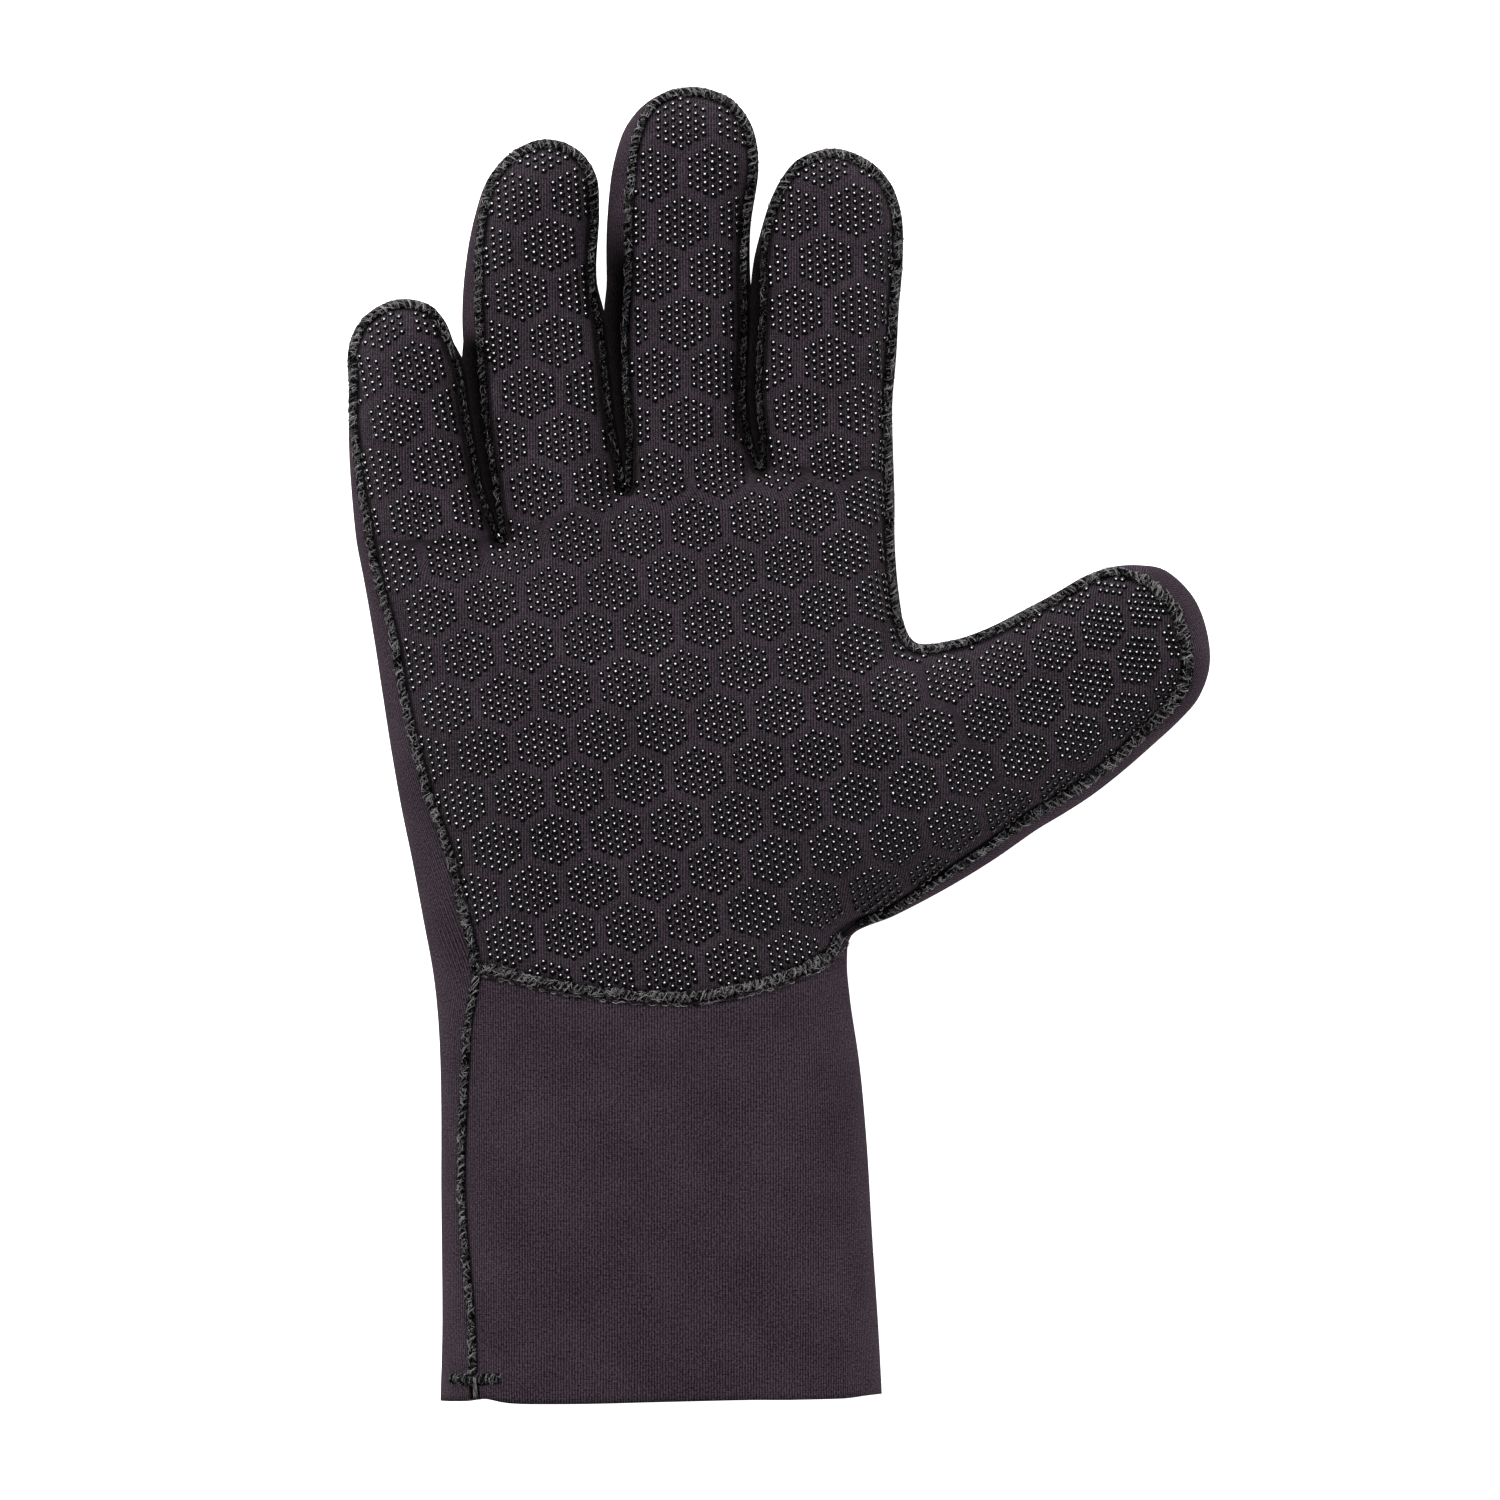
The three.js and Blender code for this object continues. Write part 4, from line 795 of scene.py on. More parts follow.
class Panel:
    """One cut piece of the glove: grids joined where they meet, outer face only."""

    def __init__(self, name):
        self.name = name
        self.points, self.faces, self.uvs, self.shades = [], [], [], []
        self.count = 0

    def add(self, grid, side, across=(1, 0), along=(0, 1), rim=False):
        """Adds a grid of places whose rows run across and whose columns run along."""
        rows, columns = grid.shape[:2]
        points = skin(grid.reshape(-1, 4), side).reshape(rows, columns, 3)
        uv = unrolled_rim(points, grid) if rim else unrolled(points, grid, np.array(across), np.array(along))
        ids = np.arange(rows * columns).reshape(rows, columns) + self.count
        order = [(slice(None, -1), slice(None, -1)), (slice(None, -1), slice(1, None)),
                 (slice(1, None), slice(1, None)), (slice(1, None), slice(None, -1))]
        if side < 0:
            order = order[::-1]
        self.faces.append(np.stack([ids[a, b].ravel() for a, b in order], axis=-1))
        self.uvs.append(np.stack([uv[a, b].reshape(-1, 2) for a, b in order], axis=1))
        self.points.append(points.reshape(-1, 3))
        # Painted shade: the rim strip takes the slots' painted shade.
        shade = np.interp(grid[..., 3], outline_run, slot_shade) if rim else np.zeros((rows, columns))
        self.shades.append(shade.ravel())
        self.count += rows * columns

    def build(self, dip):
        """Joins the grids, presses the cloth down by dip(distance to the seam) and makes the mesh."""
        points, faces, uvs = np.vstack(self.points), np.vstack(self.faces), np.vstack(self.uvs)
        _, first, joined = np.unique(points.round(3), axis=0, return_index=True, return_inverse=True)
        joined = joined.ravel()
        points, faces = points[first], joined[faces]
        pull = 0.9 * np.exp(-(((points[:, 0] + 37.5) / 4.5) ** 2)) * ease(1 - points[:, 1] / 9)
        points[:, 1] += pull * ease((points[:, 2] - 12) / 10)
        good = np.all(faces != np.roll(faces, 1, axis=1), axis=1)
        faces, uvs = faces[good], uvs[good]
        near = seam_nearness(points[:, 0], points[:, 1])
        near = np.where(points[:, 2] < self.seam_floor(points), 9.0, near)
        normals = vertex_normals(points, faces)
        points = points - normals * dip(near)[:, None]
        points[:, :2] += CUT_SHIFT
        piece = mesh_piece(self.name, points, faces)
        layer = piece.data.uv_layers.new(name="cut")
        layer.data.foreach_set("uv", (uvs.reshape(-1, 2) * 0.001).ravel().astype(np.float32))
        shade = np.concatenate(self.shades)[first]
        low_left = np.hypot((points[:, 0] + 67) / 5, (points[:, 1] + 40) / 11)
        gather = ease(1.3 - low_left) * (near > 0.8)
        # slot holds the slots' painted shade; seam is the distance that the knit's painted seam shade reads.
        for mark, values in (("seam", near), ("slot", shade), ("gather", gather)):
            layer = piece.data.attributes.new(mark, "FLOAT", "POINT")
            layer.data.foreach_set("value", values.astype(np.float32))
        return piece

    def seam_floor(self, points):
        """Height below which a point belongs to the back, away from any seam."""
        depth, lift, _ = sizes_at(points[:, 0], points[:, 1])
        return lift + 0.3 * depth


def vertex_normals(points, faces):
    corner = points[faces]
    normal = np.cross(corner[:, 2] - corner[:, 0], corner[:, 3] - corner[:, 1])
    total = np.zeros_like(points)
    for k in range(4):
        np.add.at(total, faces[:, k], normal)
    return total / np.maximum(np.linalg.norm(total, axis=1, keepdims=True), 1e-9)


def mesh_piece(name, points, faces):
    """A smooth mesh object from millimetre points, riding on the glove."""
    mesh = bpy.data.meshes.new(name)
    mesh.from_pydata((points * 0.001).tolist(), [], faces.tolist() if hasattr(faces, "tolist") else faces)
    mesh.polygons.foreach_set("use_smooth", np.ones(len(mesh.polygons), dtype=bool))
    piece = bpy.data.objects.new(name, mesh)
    scene.collection.objects.link(piece)
    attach(piece, "root")
    return piece


WALL = 0.003


def give_wall(piece, *materials):
    """Thickens a face inwards. The materials are the face, the lining and the cut edge."""
    for material in materials:
        piece.data.materials.append(material)
    wall = piece.modifiers.new("wall", "SOLIDIFY")
    wall.thickness = WALL
    wall.offset = -1
    wall.use_even_offset = False
    wall.material_offset = 1
    wall.material_offset_rim = 2


def seam_dip(near):
    """The cut edges roll down into the seam, and the thread draws the cloth in around it."""
    return 0.40 * np.exp(-((near / 0.9) ** 2)) + 0.22 * np.exp(-((near / 2.6) ** 2))


def knit(name, dark, pale, shadow, printed):
    """Fine knit: upright wales 0.6 mm apart made of small stitches of uneven yarn. Painted shade turns it
    black beside the seams and in the slots; under the printed dots the print and the dots' painted shade darken it."""
    finish = Finish(name, Sheen_Weight=0.05, Sheen_Roughness=0.4, Specular_IOR_Level=0.0)
    uv = finish.node("ShaderNodeUVMap", {"uv_map": "cut"})
    u = finish.node("ShaderNodeSeparateXYZ", {}, uv)
    v = Wire(finish, u.socket.node.outputs[1])
    wander = finish.node("ShaderNodeTexNoise", {}, Vector=uv, Scale=180.0, Detail=2.0, Roughness=0.5)
    wale = (u * (2 * math.pi / WALE_PITCH) + wander * 2.2).math("SINE")
    course = (v * (2 * math.pi / COURSE_PITCH) + wale * 0.9 + wander * 5.0).math("SINE")
    speck = finish.node("ShaderNodeTexNoise", {}, Vector=uv, Scale=2100.0, Detail=1.5, Roughness=0.8)
    patch = finish.node("ShaderNodeTexNoise", {}, Vector=uv, Scale=60.0, Detail=5.0, Roughness=0.65)
    height = wale * 0.30 + course * 0.08 + (speck - 0.5) * 2.2
    gather = finish.node("ShaderNodeAttribute", {"attribute_name": "gather"}, out=2)
    place = finish.node("ShaderNodeSeparateXYZ", {}, finish.node("ShaderNodeTexCoord", {}, out=3))
    lean = place * 0.927 + Wire(finish, place.socket.node.outputs[1]) * 0.375
    ridge = (lean * (2 * math.pi / 0.00078) + wander * 3.0).math("SINE") * gather
    tone = (height * 0.85 + (patch - 0.5) * 0.5 + ridge * 0.22 + 0.42).band(0.0, 1.0)
    seam = finish.node("ShaderNodeAttribute", {"attribute_name": "seam"}, out=2)
    slot = finish.node("ShaderNodeAttribute", {"attribute_name": "slot"}, out=2)
    colour = finish.mix(tone, dark, pale)
    # The printed ground under the dots, darkened also as painted shade around them.
    if printed:
        print_and_shade = finish.node("ShaderNodeAttribute", {"attribute_name": "print"}, out=2)
        colour = finish.mix(print_and_shade * 0.35, colour, (0.007, 0.009, 0.007))
    # Painted shade: black near the seams, within the shadow reach in mm, and in the slots.
    black = (seam.band(*shadow) * 0.8).math("MAXIMUM", slot.band(0.1, 0.9))
    finish.feed("Base Color", finish.mix(black, colour, (0.001, 0.001, 0.001)))
    finish.feed("Roughness", tone * -0.12 + 0.92)
    finish.bump(height + ridge * 1.6, 0.00010)
    return finish.material


WALE_PITCH = 0.0006
COURSE_PITCH = 0.00048
# Each knit: dark and pale yarn, the reach in mm of the painted seam shade, and whether it is printed.
back_knit = knit("knit_back", (0.012, 0.009, 0.0115), (0.087, 0.064, 0.083), (1.4, 0.7), False)
palm_knit = knit("knit_palm", (0.014, 0.0105, 0.0135), (0.100, 0.076, 0.098), (1.9, 0.9), True)
for material in (back_knit, palm_knit):
    material.node_tree.nodes["Principled BSDF"].inputs["Sheen Tint"].default_value = (0.62, 0.50, 0.54, 1)


def sponge_edge():
    """Cut sponge rubber: black, full of small closed cells."""
    finish = Finish("sponge_edge", Base_Color=(0.012, 0.012, 0.012, 1), Roughness=0.85)
    where = finish.node("ShaderNodeTexCoord", {}, out=3)
    cells = finish.node("ShaderNodeTexVoronoi", {}, Vector=where, Scale=3800.0)
    finish.feed("Base Color", finish.mix(cells.band(0.1, 0.7), (0.006, 0.006, 0.006), (0.03, 0.028, 0.029)))
    finish.bump(cells, 0.00012)
    return finish.material


def lining():
    """The knit laminated inside: plain and black."""
    finish = Finish("lining", Roughness=0.9)
    where = finish.node("ShaderNodeTexCoord", {}, out=3)
    grain = finish.node("ShaderNodeTexNoise", {}, Vector=where, Scale=1800.0, Detail=3.0)
    finish.feed("Base Color", finish.mix(grain, (0.010, 0.009, 0.010), (0.032, 0.028, 0.031)))
    finish.bump(grain, 0.0001)
    return finish.material


edge_material, lining_material = sponge_edge(), lining()

# Back panel: one piece of sponge rubber faced with fine knit. It is the back of the hand and the
# whole cuff, turns over the sides to the palm seam, and its cuff closes at the cuff seam.
back = Panel("back_shell")
back.add(cuff_grid(on_outline, on_outline, wrist_back), -1)
for name, grid in hand_grids(on_outline, wrist_back).items():
    lean = [FINGERS["thumb"][key] for key in ("across", "along")] if name == "thumb" else [(1, 0), (0, 1)]
    back.add(grid, -1, *lean)
back.add(rim_grid(), 1, rim=True)
back.add(cuff_grid(seam_in, seam_out, wrist_below), 1)
back_shell = back.build(seam_dip)
give_wall(back_shell, back_knit, lining_material, edge_material)
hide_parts("back_panel")

# Palm panel: palm and palm sides of the fingers and thumb in one piece, of the same cloth.
palm = Panel("palm_shell")
for name, grid in hand_grids(seam_in, wrist_above, 0.9).items():
    lean = [FINGERS["thumb"][key] for key in ("across", "along")] if name == "thumb" else [(1, 0), (0, 1)]
    palm.add(grid, 1, *lean)
palm_shell = palm.build(seam_dip)
give_wall(palm_shell, palm_knit, lining_material, edge_material)
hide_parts("palm_panel")

# Grip dots: glossy black rubber domes printed on the palm in hexagons of 37, four dots to a side.
# The cloth was printed flat, so the rows lean and spread with the palm, the thumb and each finger.
DOT_RADIUS = 0.67
DOT_HEIGHT = 0.46
PRINT_CLEAR = 1.3
DOT_COLUMN = 0.122
DOT_ROW = 0.1628
# Where a place (across, down) of the flat print lies on the glove, in millimetres from its middle, as a
# sum of powers. Columns: power of across, power of down, x, y. One cluster apart is 1 across.
PALM_PRINT = [(0, 0, -26.964, 23.953), (0, 1, 1.346, -10.368), (0, 2, 0.030, 0.026), (0, 3, 0.001, 0.000),
              (1, 0, 12.624, 1.608), (1, 1, -0.035, 0.028), (1, 2, 0.017, -0.005), (2, 0, -0.056, 0.003),
              (2, 1, 0.012, 0.011), (3, 0, -0.011, 0.013)]
# Columns: finger, the print's share across that falls to it, then x and y at 0, per down, per across
FINGER_PRINT = [("little", -9.0, -2.35, (-23.22, 25.68), (2.09, -10.17), (13.34, 2.30)),
                ("ring", -2.35, -0.25, (-28.34, 24.56), (0.77, -10.27), (13.46, 1.02)),
                ("middle", -0.25, 2.30, (-31.20, 24.76), (0.21, -10.58), (13.20, 0.82)),
                ("index", 2.30, 14.0, (-33.76, 26.31), (0.47, -10.56), (13.60, 0.54))]


def printed_places():
    """Flat print: places (across, down) of every dot of every cluster."""
    i, j = (v.ravel() for v in np.meshgrid(np.arange(-12, 18), np.arange(-12, 10)))
    dots = np.array([(k * DOT_COLUMN, (m - (6 - abs(k)) / 2) * DOT_ROW)
                     for k in range(-3, 4) for m in range(7 - abs(k))])
    return (np.stack([i + j / 2, j], axis=-1)[:, None] + dots).reshape(-1, 2)


def lay_print():
    """Centres of the dots on the glove. Above the knuckles each finger takes its own share."""
    print_places = printed_places()
    across, down = print_places.T
    palm_places = sum(np.stack([across ** a * down ** b * x, across ** a * down ** b * y], axis=-1)
                      for a, b, x, y in PALM_PRINT)
    laid = []
    for name, first, last, start, per_down, per_across in FINGER_PRINT:
        own = np.array(start) + down[:, None] * per_down + across[:, None] * per_across
        share = ease((-2.1 - down) / 1.6)[:, None]
        places = palm_places * (1 - share) + own * share - CUT_SHIFT
        offsets = [np.abs((places - FINGERS[other]["base"]) @ FINGERS[other]["across"] / FINGERS[other]["width"])
                   for other, *_ in FINGER_PRINT]
        nearest = np.argmin(offsets, axis=0) == [other for other, *_ in FINGER_PRINT].index(name)
        high = places[:, 1] > palm_y(1.0)
        laid.append(places[np.where(high, nearest, (across >= first) & (across < last))])
    return np.vstack(laid)


def inside(places, edge):
    """Whether places lie inside a closed line, by counting the crossings to their right."""
    a, b = edge, np.roll(edge, -1, axis=0)
    found = np.zeros(len(places), dtype=bool)
    for i in range(0, len(places), 4000):
        x, y = places[i:i + 4000, 0, None], places[i:i + 4000, 1, None]
        crosses = (a[:, 1] > y) != (b[:, 1] > y)
        reach = a[:, 0] + (y - a[:, 1]) * (b[:, 0] - a[:, 0]) / np.where(b[:, 1] == a[:, 1], 1, b[:, 1] - a[:, 1])
        found[i:i + 4000] = np.sum(crosses & (reach > x), axis=1) % 2 == 1
    return found


def surface(x, y):
    """Point and outward direction of the palm face at places away from the outline."""
    def height(px, py):
        return skin(np.stack([px, py, np.full(len(px), np.nan), px], axis=-1), 1)[:, 2]
    z = height(x, y)
    step = 0.15
    slope = [(height(x + dx * step, y + dy * step) - z) / step for dx, dy in ((1, 0), (0, 1))]
    normal = np.stack([-slope[0], -slope[1], np.ones(len(x))], axis=-1)
    return np.stack([x, y, z], axis=-1), normal / np.linalg.norm(normal, axis=1, keepdims=True)


def domes(name, centres, normals, rng):
    """Round domes on the cloth: rings of 8 points, the lowest sunk in, closed below and above."""
    rings = np.array([(1.10, -0.20), (0.93, 0.32), (0.55, 0.84)])
    angle = np.arange(8) * np.pi / 4
    side = np.cross(normals, [0.0, 1.0, 0.05])
    side /= np.linalg.norm(side, axis=1, keepdims=True)
    front = np.cross(normals, side)
    size = rng.normal(1, 0.045, len(centres))[:, None, None]
    tall = DOT_HEIGHT * rng.normal(1, 0.08, len(centres))[:, None, None]
    lean = rng.normal(0, 0.05, (len(centres), 1, 2))
    points = [
        centres[:, None] + (side[:, None] * (np.cos(angle)[:, None] * r * size + lean[..., :1] * h)
                            + front[:, None] * (np.sin(angle)[:, None] * r * size + lean[..., 1:] * h)) * DOT_RADIUS
        + normals[:, None] * h * tall
        for r, h in rings
    ]
    points.append(centres[:, None] + normals[:, None] * tall)
    points = np.concatenate(points, axis=1)
    start = (np.arange(len(centres)) * 25)[:, None]
    faces = []
    for ring in range(2):
        for k in range(8):
            a, b = ring * 8 + k, ring * 8 + (k + 1) % 8
            faces.append(start + [a, b, b + 8, a + 8])
    tops = [start + [16 + k, 16 + (k + 1) % 8, 24] for k in range(8)]
    floor = start + np.arange(8)[::-1]
    everything = sum((f.tolist() for f in faces + tops + [floor]), [])
    points = points.reshape(-1, 3)
    points[:, :2] += CUT_SHIFT
    return mesh_piece(name, points, everything)


rng = np.random.default_rng(7)
edge_line = np.vstack([palm_seam_line, wrist_seam_line[::-1]])
centres = lay_print()
centres = centres[inside(centres, edge_line)]
away = seam_nearness(centres[:, 0], centres[:, 1])
ground = centres[away > 0.5]
centres = centres[away > PRINT_CLEAR]
count = len(palm_shell.data.vertices)
spots = np.empty(count * 3, dtype=np.float32)
palm_shell.data.vertices.foreach_get("co", spots)
spots = spots.reshape(-1, 3)[:, :2] * 1000 - CUT_SHIFT
reach = np.concatenate([np.sqrt(((part[:, None] - ground[None]) ** 2).sum(axis=2).min(axis=1))
                        for part in np.array_split(spots, 40)])
# The print mark: full within 1.1 mm of a dot, gone by 2.2 mm; printed ground and painted shade of the dots.
mark = palm_shell.data.attributes.new("print", "FLOAT", "POINT")
mark.data.foreach_set("value", (1 - ease((reach - 1.1) / 1.1)).astype(np.float32))
points, normals = surface(centres[:, 0], centres[:, 1])
print("grip dots", len(points))
dot_finish = Finish("grip_rubber", Roughness=0.25, Specular_IOR_Level=0.35)
where = dot_finish.node("ShaderNodeTexCoord", {}, out=3)
scuff = dot_finish.node("ShaderNodeTexNoise", {}, Vector=where, Scale=900.0, Detail=3.0, Roughness=0.7)
dot_finish.feed("Base Color", dot_finish.mix(scuff, (0.0005, 0.0005, 0.0005), (0.002, 0.002, 0.002)))
dot_finish.feed("Roughness", scuff * 0.20 + 0.11)
high = points[:, 1] > palm_y(0.80)
for name, group in (("grip_dots_palm", ~high), ("grip_dots_fingers", high)):
    piece = domes(name, points[group], normals[group], rng)
    piece.data.materials.append(dot_finish.material)


# Seams: overcast stitching of dark grey spun thread over the butted cut edges.
def seam_run(start, end):
    """Lengths along the outline, closer together round the crotches."""
    near = [outline_run[marks[name] * OUTLINE_STEPS] + np.arange(-1.5, 1.5, 0.06)
            for name in ("crotch 1", "crotch 2", "crotch 3")]
    run = np.unique(np.concatenate([np.arange(start, end, 0.4)] + near).round(3))
    return run[(run >= start) & (run <= end)]


def ribbon_beside_outline(run):
    """Surface on either side of the palm or cuff seam: points on a band 3 mm to each side.
    It follows the cross-section round the outline, from the palm side to the back."""
    spot, inward = outline_at(run)[:, :2], outline_inward(run)
    width = sizes_at(spot[:, 0], spot[:, 1])[2]
    angle = np.linspace(-0.75, 1.25, 81)
    share = 1 - np.abs(np.cos(angle)) ** (2 / PROFILE_POWER)
    distance = width[:, None] * share
    x = spot[:, 0, None] + inward[:, 0, None] * distance
    y = spot[:, 1, None] + inward[:, 1, None] * distance
    front, back_side = angle >= 0, angle < 0
    z = np.empty_like(x)
    z[:, front] = skin_height(x[:, front], y[:, front], 1, distance[:, front])
    z[:, front] += ease(share[front] / 0.6) * slack(x[:, front], y[:, front])
    z[:, back_side] = skin_height(x[:, back_side], y[:, back_side], -1, distance[:, back_side])
    curve = np.stack([x, y, z], axis=-1)
    arc = np.cumsum(np.pad(np.linalg.norm(np.diff(curve, axis=1), axis=-1), ((0, 0), (1, 0))), axis=1)
    seam = seam_distance(run)
    offsets = np.linspace(-3, 3, 25)
    base = np.empty((len(run), len(offsets), 3))
    for k in range(len(run)):
        zero = np.interp(seam[k], distance[k, front], arc[k, front])
        for c in range(3):
            base[k, :, c] = np.interp(zero + offsets, arc[k], curve[k, :, c])
    return base


def ribbon_on_palm(line):
    """The same band beside a line across the palm side."""
    way = np.gradient(line, axis=0)
    way /= np.linalg.norm(way, axis=1, keepdims=True)
    offsets = np.linspace(-3, 3, 25)
    across = np.stack([-way[:, 1], way[:, 0]], axis=-1)
    places = line[:, None] + across[:, None] * offsets[None, :, None]
    flat = places.reshape(-1, 2)
    return surface(flat[:, 0], flat[:, 1])[0].reshape(len(line), -1, 3)


class Seam:
    """A band of surface along a seam, on which threads are laid by (along, across, height)."""

    def __init__(self, base, start=0.0, end=0.0, spread=None):
        self.base = base
        along = np.gradient(base, axis=0)
        across = np.gradient(base, axis=1)
        normal = np.cross(across, along)
        normal /= np.maximum(np.linalg.norm(normal, axis=-1, keepdims=True), 1e-9)
        if normal[..., 2].mean() < 0:
            normal = -normal
        self.normal = normal
        middle = base[:, base.shape[1] // 2]
        self.run = np.append(0, np.cumsum(np.linalg.norm(np.diff(middle, axis=0), axis=1)))
        self.start, self.end = start, self.run[-1] - end
        self.spread = np.ones(len(base)) if spread is None else spread

    def at(self, along, across, height):
        across = across * np.interp(along, self.run, self.spread)
        row = np.interp(np.clip(along, 0, self.run[-1]), self.run, np.arange(len(self.run)))
        column = np.clip((across + 3) / 6 * 24, 0, 24)
        i, j = np.minimum(row.astype(int), len(self.run) - 2), np.minimum(column.astype(int), 23)
        a, b = (row - i)[..., None], (column - j)[..., None]

        def pick(grid):
            return ((grid[i, j] * (1 - b) + grid[i, j + 1] * b) * (1 - a)
                    + (grid[i + 1, j] * (1 - b) + grid[i + 1, j + 1] * b) * a)
        return pick(self.base) + pick(self.normal) * np.asarray(height)[..., None], pick(self.normal)


def tubes(lines, up, radius, sides):
    """Closed threads along lines of points: a ring square to the line at each point."""
    way = np.gradient(lines, axis=1)
    way /= np.maximum(np.linalg.norm(way, axis=-1, keepdims=True), 1e-9)
    side = np.cross(way, up)
    side /= np.maximum(np.linalg.norm(side, axis=-1, keepdims=True), 1e-9)
    top = np.cross(side, way)
    angle = np.arange(sides) * 2 * np.pi / sides + np.pi / 4
    count, length = lines.shape[:2]
    taper = np.ones(length)
    taper[[0, -1]] = 0.55
    ring = side[:, :, None] * np.cos(angle)[:, None] + top[:, :, None] * np.sin(angle)[:, None]
    points = lines[:, :, None] + ring * (radius[:, None, None, None] * taper[:, None, None])
    ids = np.arange(count * length * sides).reshape(count, length, sides)
    after = np.roll(ids, -1, axis=2)
    walls = np.stack([ids[:, :-1], ids[:, 1:], after[:, 1:], after[:, :-1]], axis=-1).reshape(-1, 4)
    return points.reshape(-1, 3), walls.tolist() + np.vstack([ids[:, 0], ids[:, -1, ::-1]]).tolist()


class Stitches:
    """Threads laid on a seam, gathered into one piece."""

    def __init__(self, seam, pitch, rng):
        self.seam, self.rng = seam, rng
        self.count = int((seam.end - seam.start) / pitch)
        self.at = (seam.start + (np.arange(self.count) + 0.5) * pitch)[:, None]
        self.points, self.faces, self.tones = [], [], []
        self.total = 0

    def jitter(self, size, length=6):
        return self.rng.normal(0, size, (self.count, 1)) + self.rng.normal(0, size * 0.5, (self.count, length))

    def lay(self, along, across, height, radius, tone, sides=4, vary=0.25):
        """One thread a stitch: arrays of places along and across the seam and heights above it."""
        lines, up = self.seam.at(along + self.at, across, height)
        radii = radius * self.rng.uniform(0.85, 1.15, len(lines))
        points, faces = tubes(lines, up, radii, sides)
        self.faces += [[k + self.total for k in face] for face in faces]
        self.points.append(points)
        self.total += len(points)
        # Painted shade: threads in the slots are darkened by the share by which the slot narrows the seam.
        in_slot = np.interp(self.at[:, 0], self.seam.run, 1 - np.minimum(self.seam.spread, 1))
        tones = np.clip(self.rng.normal(tone, vary, len(lines)) * (1 - 2 * in_slot), 0, 1.6)
        self.tones.append(np.repeat(tones, lines.shape[1] * sides))

    def core(self, half, height):
        """A bead of packed thread under the stitches, closing the join; its dark tone is painted shade of the join."""
        run = np.arange(self.seam.start, self.seam.end, 0.5)
        angle = np.linspace(0, 2 * np.pi, 11)[:-1]
        across, up = np.cos(angle) * half, np.sin(angle) * height - 0.45
        points, _ = self.seam.at(run[:, None] + 0 * across, across[None] + 0 * run[:, None], up + 0 * run[:, None])
        ids = np.arange(points[..., 0].size).reshape(points.shape[:2])
        after = np.roll(ids, -1, axis=1)
        walls = np.stack([ids[:-1], after[:-1], after[1:], ids[1:]], axis=-1).reshape(-1, 4)
        self.faces += (walls + self.total).tolist() + [(ids[0, ::-1] + self.total).tolist(), (ids[-1] + self.total).tolist()]
        self.points.append(points.reshape(-1, 3))
        self.total += ids.size
        # Dark tone: painted shade of the join.
        self.tones.append(np.full(ids.size, 0.2))

    def overcast(self, pitch, half, height, lean, fibres, tone=0.6):
        """Slanted double threads over the seam, lower ones back, a loop along each edge, loose fibres."""
        self.core(half * 0.95, 0.45 + height * 0.35)
        t = np.linspace(0, 1, 6)
        arch = np.sin(np.pi * t) ** 0.6
        for ply in (-0.15, 0.15):
            self.lay(ply + lean * (t - 0.5) + self.jitter(0.08), half * (2 * t - 1) + self.jitter(0.09),
                     height * arch - 0.15 + self.jitter(0.06), 0.135, tone)
            self.lay(ply + pitch * 0.5 - 0.7 * lean * (t - 0.5) + self.jitter(0.10),
                     half * 0.95 * (2 * t - 1) + self.jitter(0.09), height * 0.6 * arch - 0.2 + self.jitter(0.06),
                     0.12, tone * 0.55)
        for sign in (-1, 1):
            self.lay(pitch * (1.1 * t - 0.55) + self.jitter(0.1), sign * (half - 0.25 * arch + 0.1) + self.jitter(0.08),
                     -0.15 + 0.18 * arch + self.jitter(0.05), 0.12, tone * 0.5)
        t = np.linspace(-0.5, 0.5, 4)
        for _ in range(fibres):
            long = self.rng.normal(0, 1.1, (self.count, 1))
            wide = self.rng.normal(0, 0.9, (self.count, 1))
            middle = self.rng.uniform(-0.9, 0.9, (self.count, 1)) * half
            self.lay(self.rng.uniform(-0.5, 0.5, (self.count, 1)) * pitch + t * long + self.jitter(0.05, 4),
                     np.clip(middle + t * wide + self.jitter(0.08, 4), -half - 0.3, half + 0.3),
                     height * self.rng.uniform(0.35, 1.05, (self.count, 1)) * (1 - (middle / (half + 0.4)) ** 2)
                     + 0.02 - 0.5 * t ** 2, 0.075, tone, 3, 0.6)

    def build(self, name):
        points = np.vstack(self.points)
        points[:, :2] += CUT_SHIFT
        piece = mesh_piece(name, points, self.faces)
        shade = piece.data.attributes.new("tone", "FLOAT", "POINT")
        shade.data.foreach_set("value", np.concatenate(self.tones).astype(np.float32))
        piece.data.materials.append(thread_material)
        print(name, "threads", sum(2 * len(face) - 4 if len(face) > 4 else len(face) - 2 for face in self.faces))
        return piece


def thread():
    """Spun thread: each ply its own grey, with a fine fuzz."""
    finish = Finish("seam_thread", Roughness=0.8, Specular_IOR_Level=0.0)
    where = finish.node("ShaderNodeTexCoord", {}, out=3)
    fuzz = finish.node("ShaderNodeTexNoise", {}, Vector=where, Scale=3000.0, Detail=3.0, Roughness=0.7)
    tone = finish.node("ShaderNodeAttribute", {"attribute_name": "tone"}, out=2)
    share = (tone * 0.8 + (fuzz - 0.5) * 1.2).band(0.1, 1.1)
    finish.feed("Base Color", finish.mix(share, (0.0015, 0.0015, 0.0015), (0.34, 0.325, 0.33)))
    finish.bump(fuzz, 0.00006)
    return finish.material


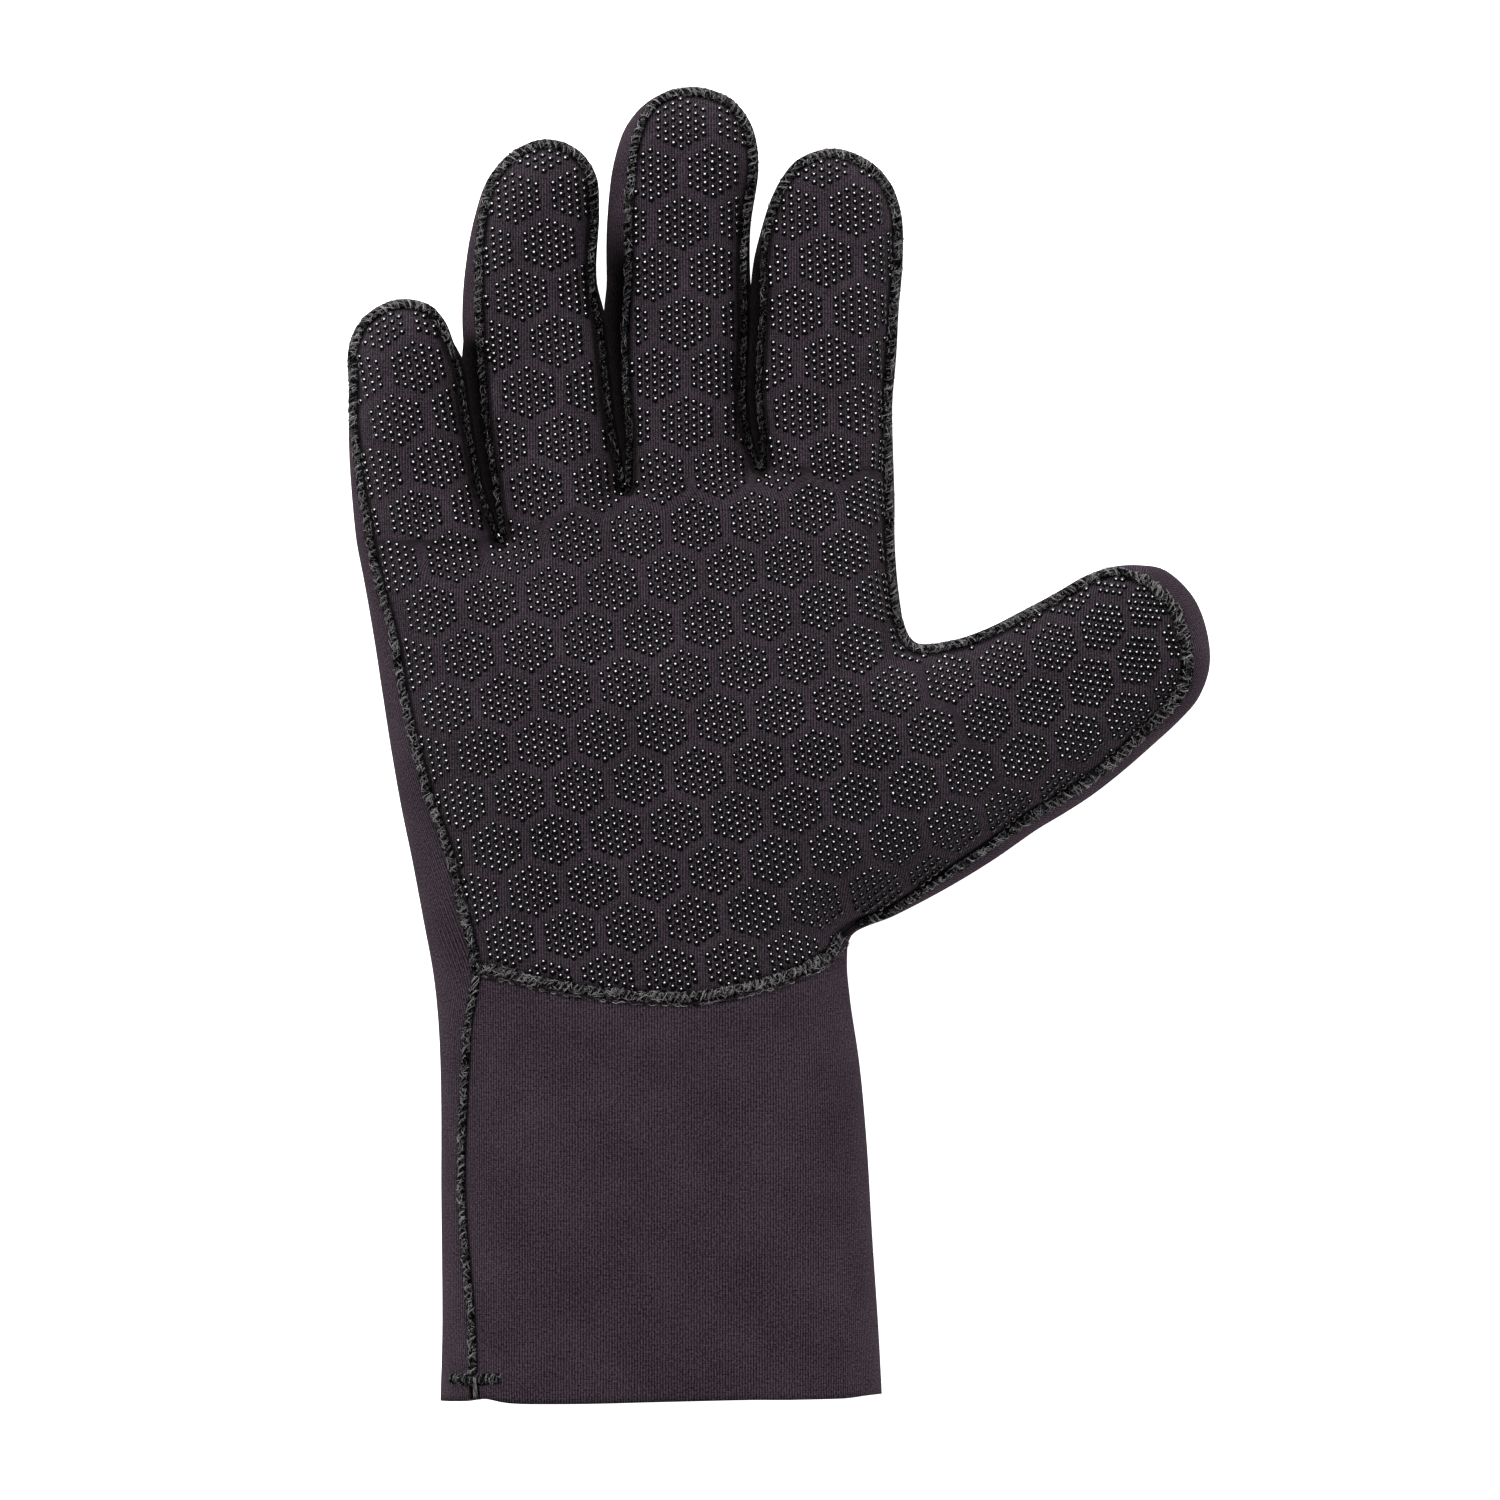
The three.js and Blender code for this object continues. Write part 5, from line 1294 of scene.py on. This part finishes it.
thread_material = thread()
low_run = outline_run[marks["wrist left"] * OUTLINE_STEPS]
high_run = outline_run[marks["wrist right"] * OUTLINE_STEPS]
middle_run = outline_run[marks["crotch 2"] * OUTLINE_STEPS]
for name, start, end, clear in (("palm_stitches_left", low_run, middle_run, 0), ("palm_stitches_right", middle_run,
                                                                               high_run, 2.5)):
    run = seam_run(start, end)
    at_thumb = ease((outline_at(run)[:, 0] - 68) / 15)
    # The slots' painted shade narrows the seam there, and lay() reads that narrowing to darken its threads as painted
    # shade.
    in_slot = np.interp(run, outline_run, slot_shade)
    spread = np.maximum(0.6 * (1 - ease((seam_distance(run) - SEAM_EDGE) / 1.0)), 0.45 * at_thumb)
    spread = 1 + spread * (1 - in_slot) - 0.22 * in_slot
    seam = Stitches(Seam(ribbon_beside_outline(run), 0, clear, spread), 1.45, rng)
    seam.overcast(1.45, 1.05, 0.75, 1.3, 9, 0.55)
    palm_stitches = seam.build(name)
    if start == low_run:
        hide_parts("palm_seam")

# Wrist seam: a wide fuzzy band with a thin chain of the second thread along its cuff edge.
seam = Stitches(Seam(ribbon_on_palm(wrist_seam_line[::3]), 0.5, 1.2), 1.3, rng)
seam.overcast(1.3, 1.1, 0.8, 1.2, 12, 0.6)
t = np.linspace(0, 1, 6)
for sign in (-1, 1):
    seam.lay(1.5 * t - 0.75 + seam.jitter(0.06), -1.7 + sign * 0.26 * np.sin(np.pi * t) + seam.jitter(0.04),
             0.2 + 0.12 * np.sin(np.pi * t) + seam.jitter(0.06), 0.10, 0.5, 4, 0.4)
wrist_stitches = seam.build("wrist_stitches")
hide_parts("wrist_seam")

# Cuff seam: narrower, its slanted threads standing apart over the dark join.
seam = Stitches(Seam(ribbon_beside_outline(np.arange(1.0, low_run, 0.4)), 5.0), 1.6, rng)
seam.overcast(1.6, 0.9, 0.65, 1.5, 6, 0.6)
cuff_stitches = seam.build("cuff_stitches")
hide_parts("cuff_seam")

# Bar tack: dense stitches across the end of the cuff seam, its thread ends left as a tuft to the hem.
tack_line = np.array([[-43.8, 4.9], [-38.5, 4.8], [-33.2, 5.1]])
seam = Stitches(Seam(ribbon_on_palm(smooth_line(tack_line, 20))), 0.5, rng)
seam.overcast(0.5, 1.1, 0.7, 0.3, 3, 0.3)
tack = seam.build("bar_tack_stitches")
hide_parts("bar_tack")
tuft_line = np.array([[-38.6, 5.4], [-38.4, 3.0], [-38.3, 0.6]])
seam = Stitches(Seam(ribbon_on_palm(smooth_line(tuft_line, 20))), 4.5, rng)
for k in range(14):
    t = np.linspace(0, 1, 6)
    seam.lay(4.4 * (t - 0.5) + seam.jitter(0.3), rng.normal(0, 0.35) + rng.normal(0, 0.55) * t + seam.jitter(0.1),
             0.8 - 0.5 * t + rng.normal(0, 0.15), 0.08, 0.6, 4, 0.5)
tuft = seam.build("tack_tuft")

low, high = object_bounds()
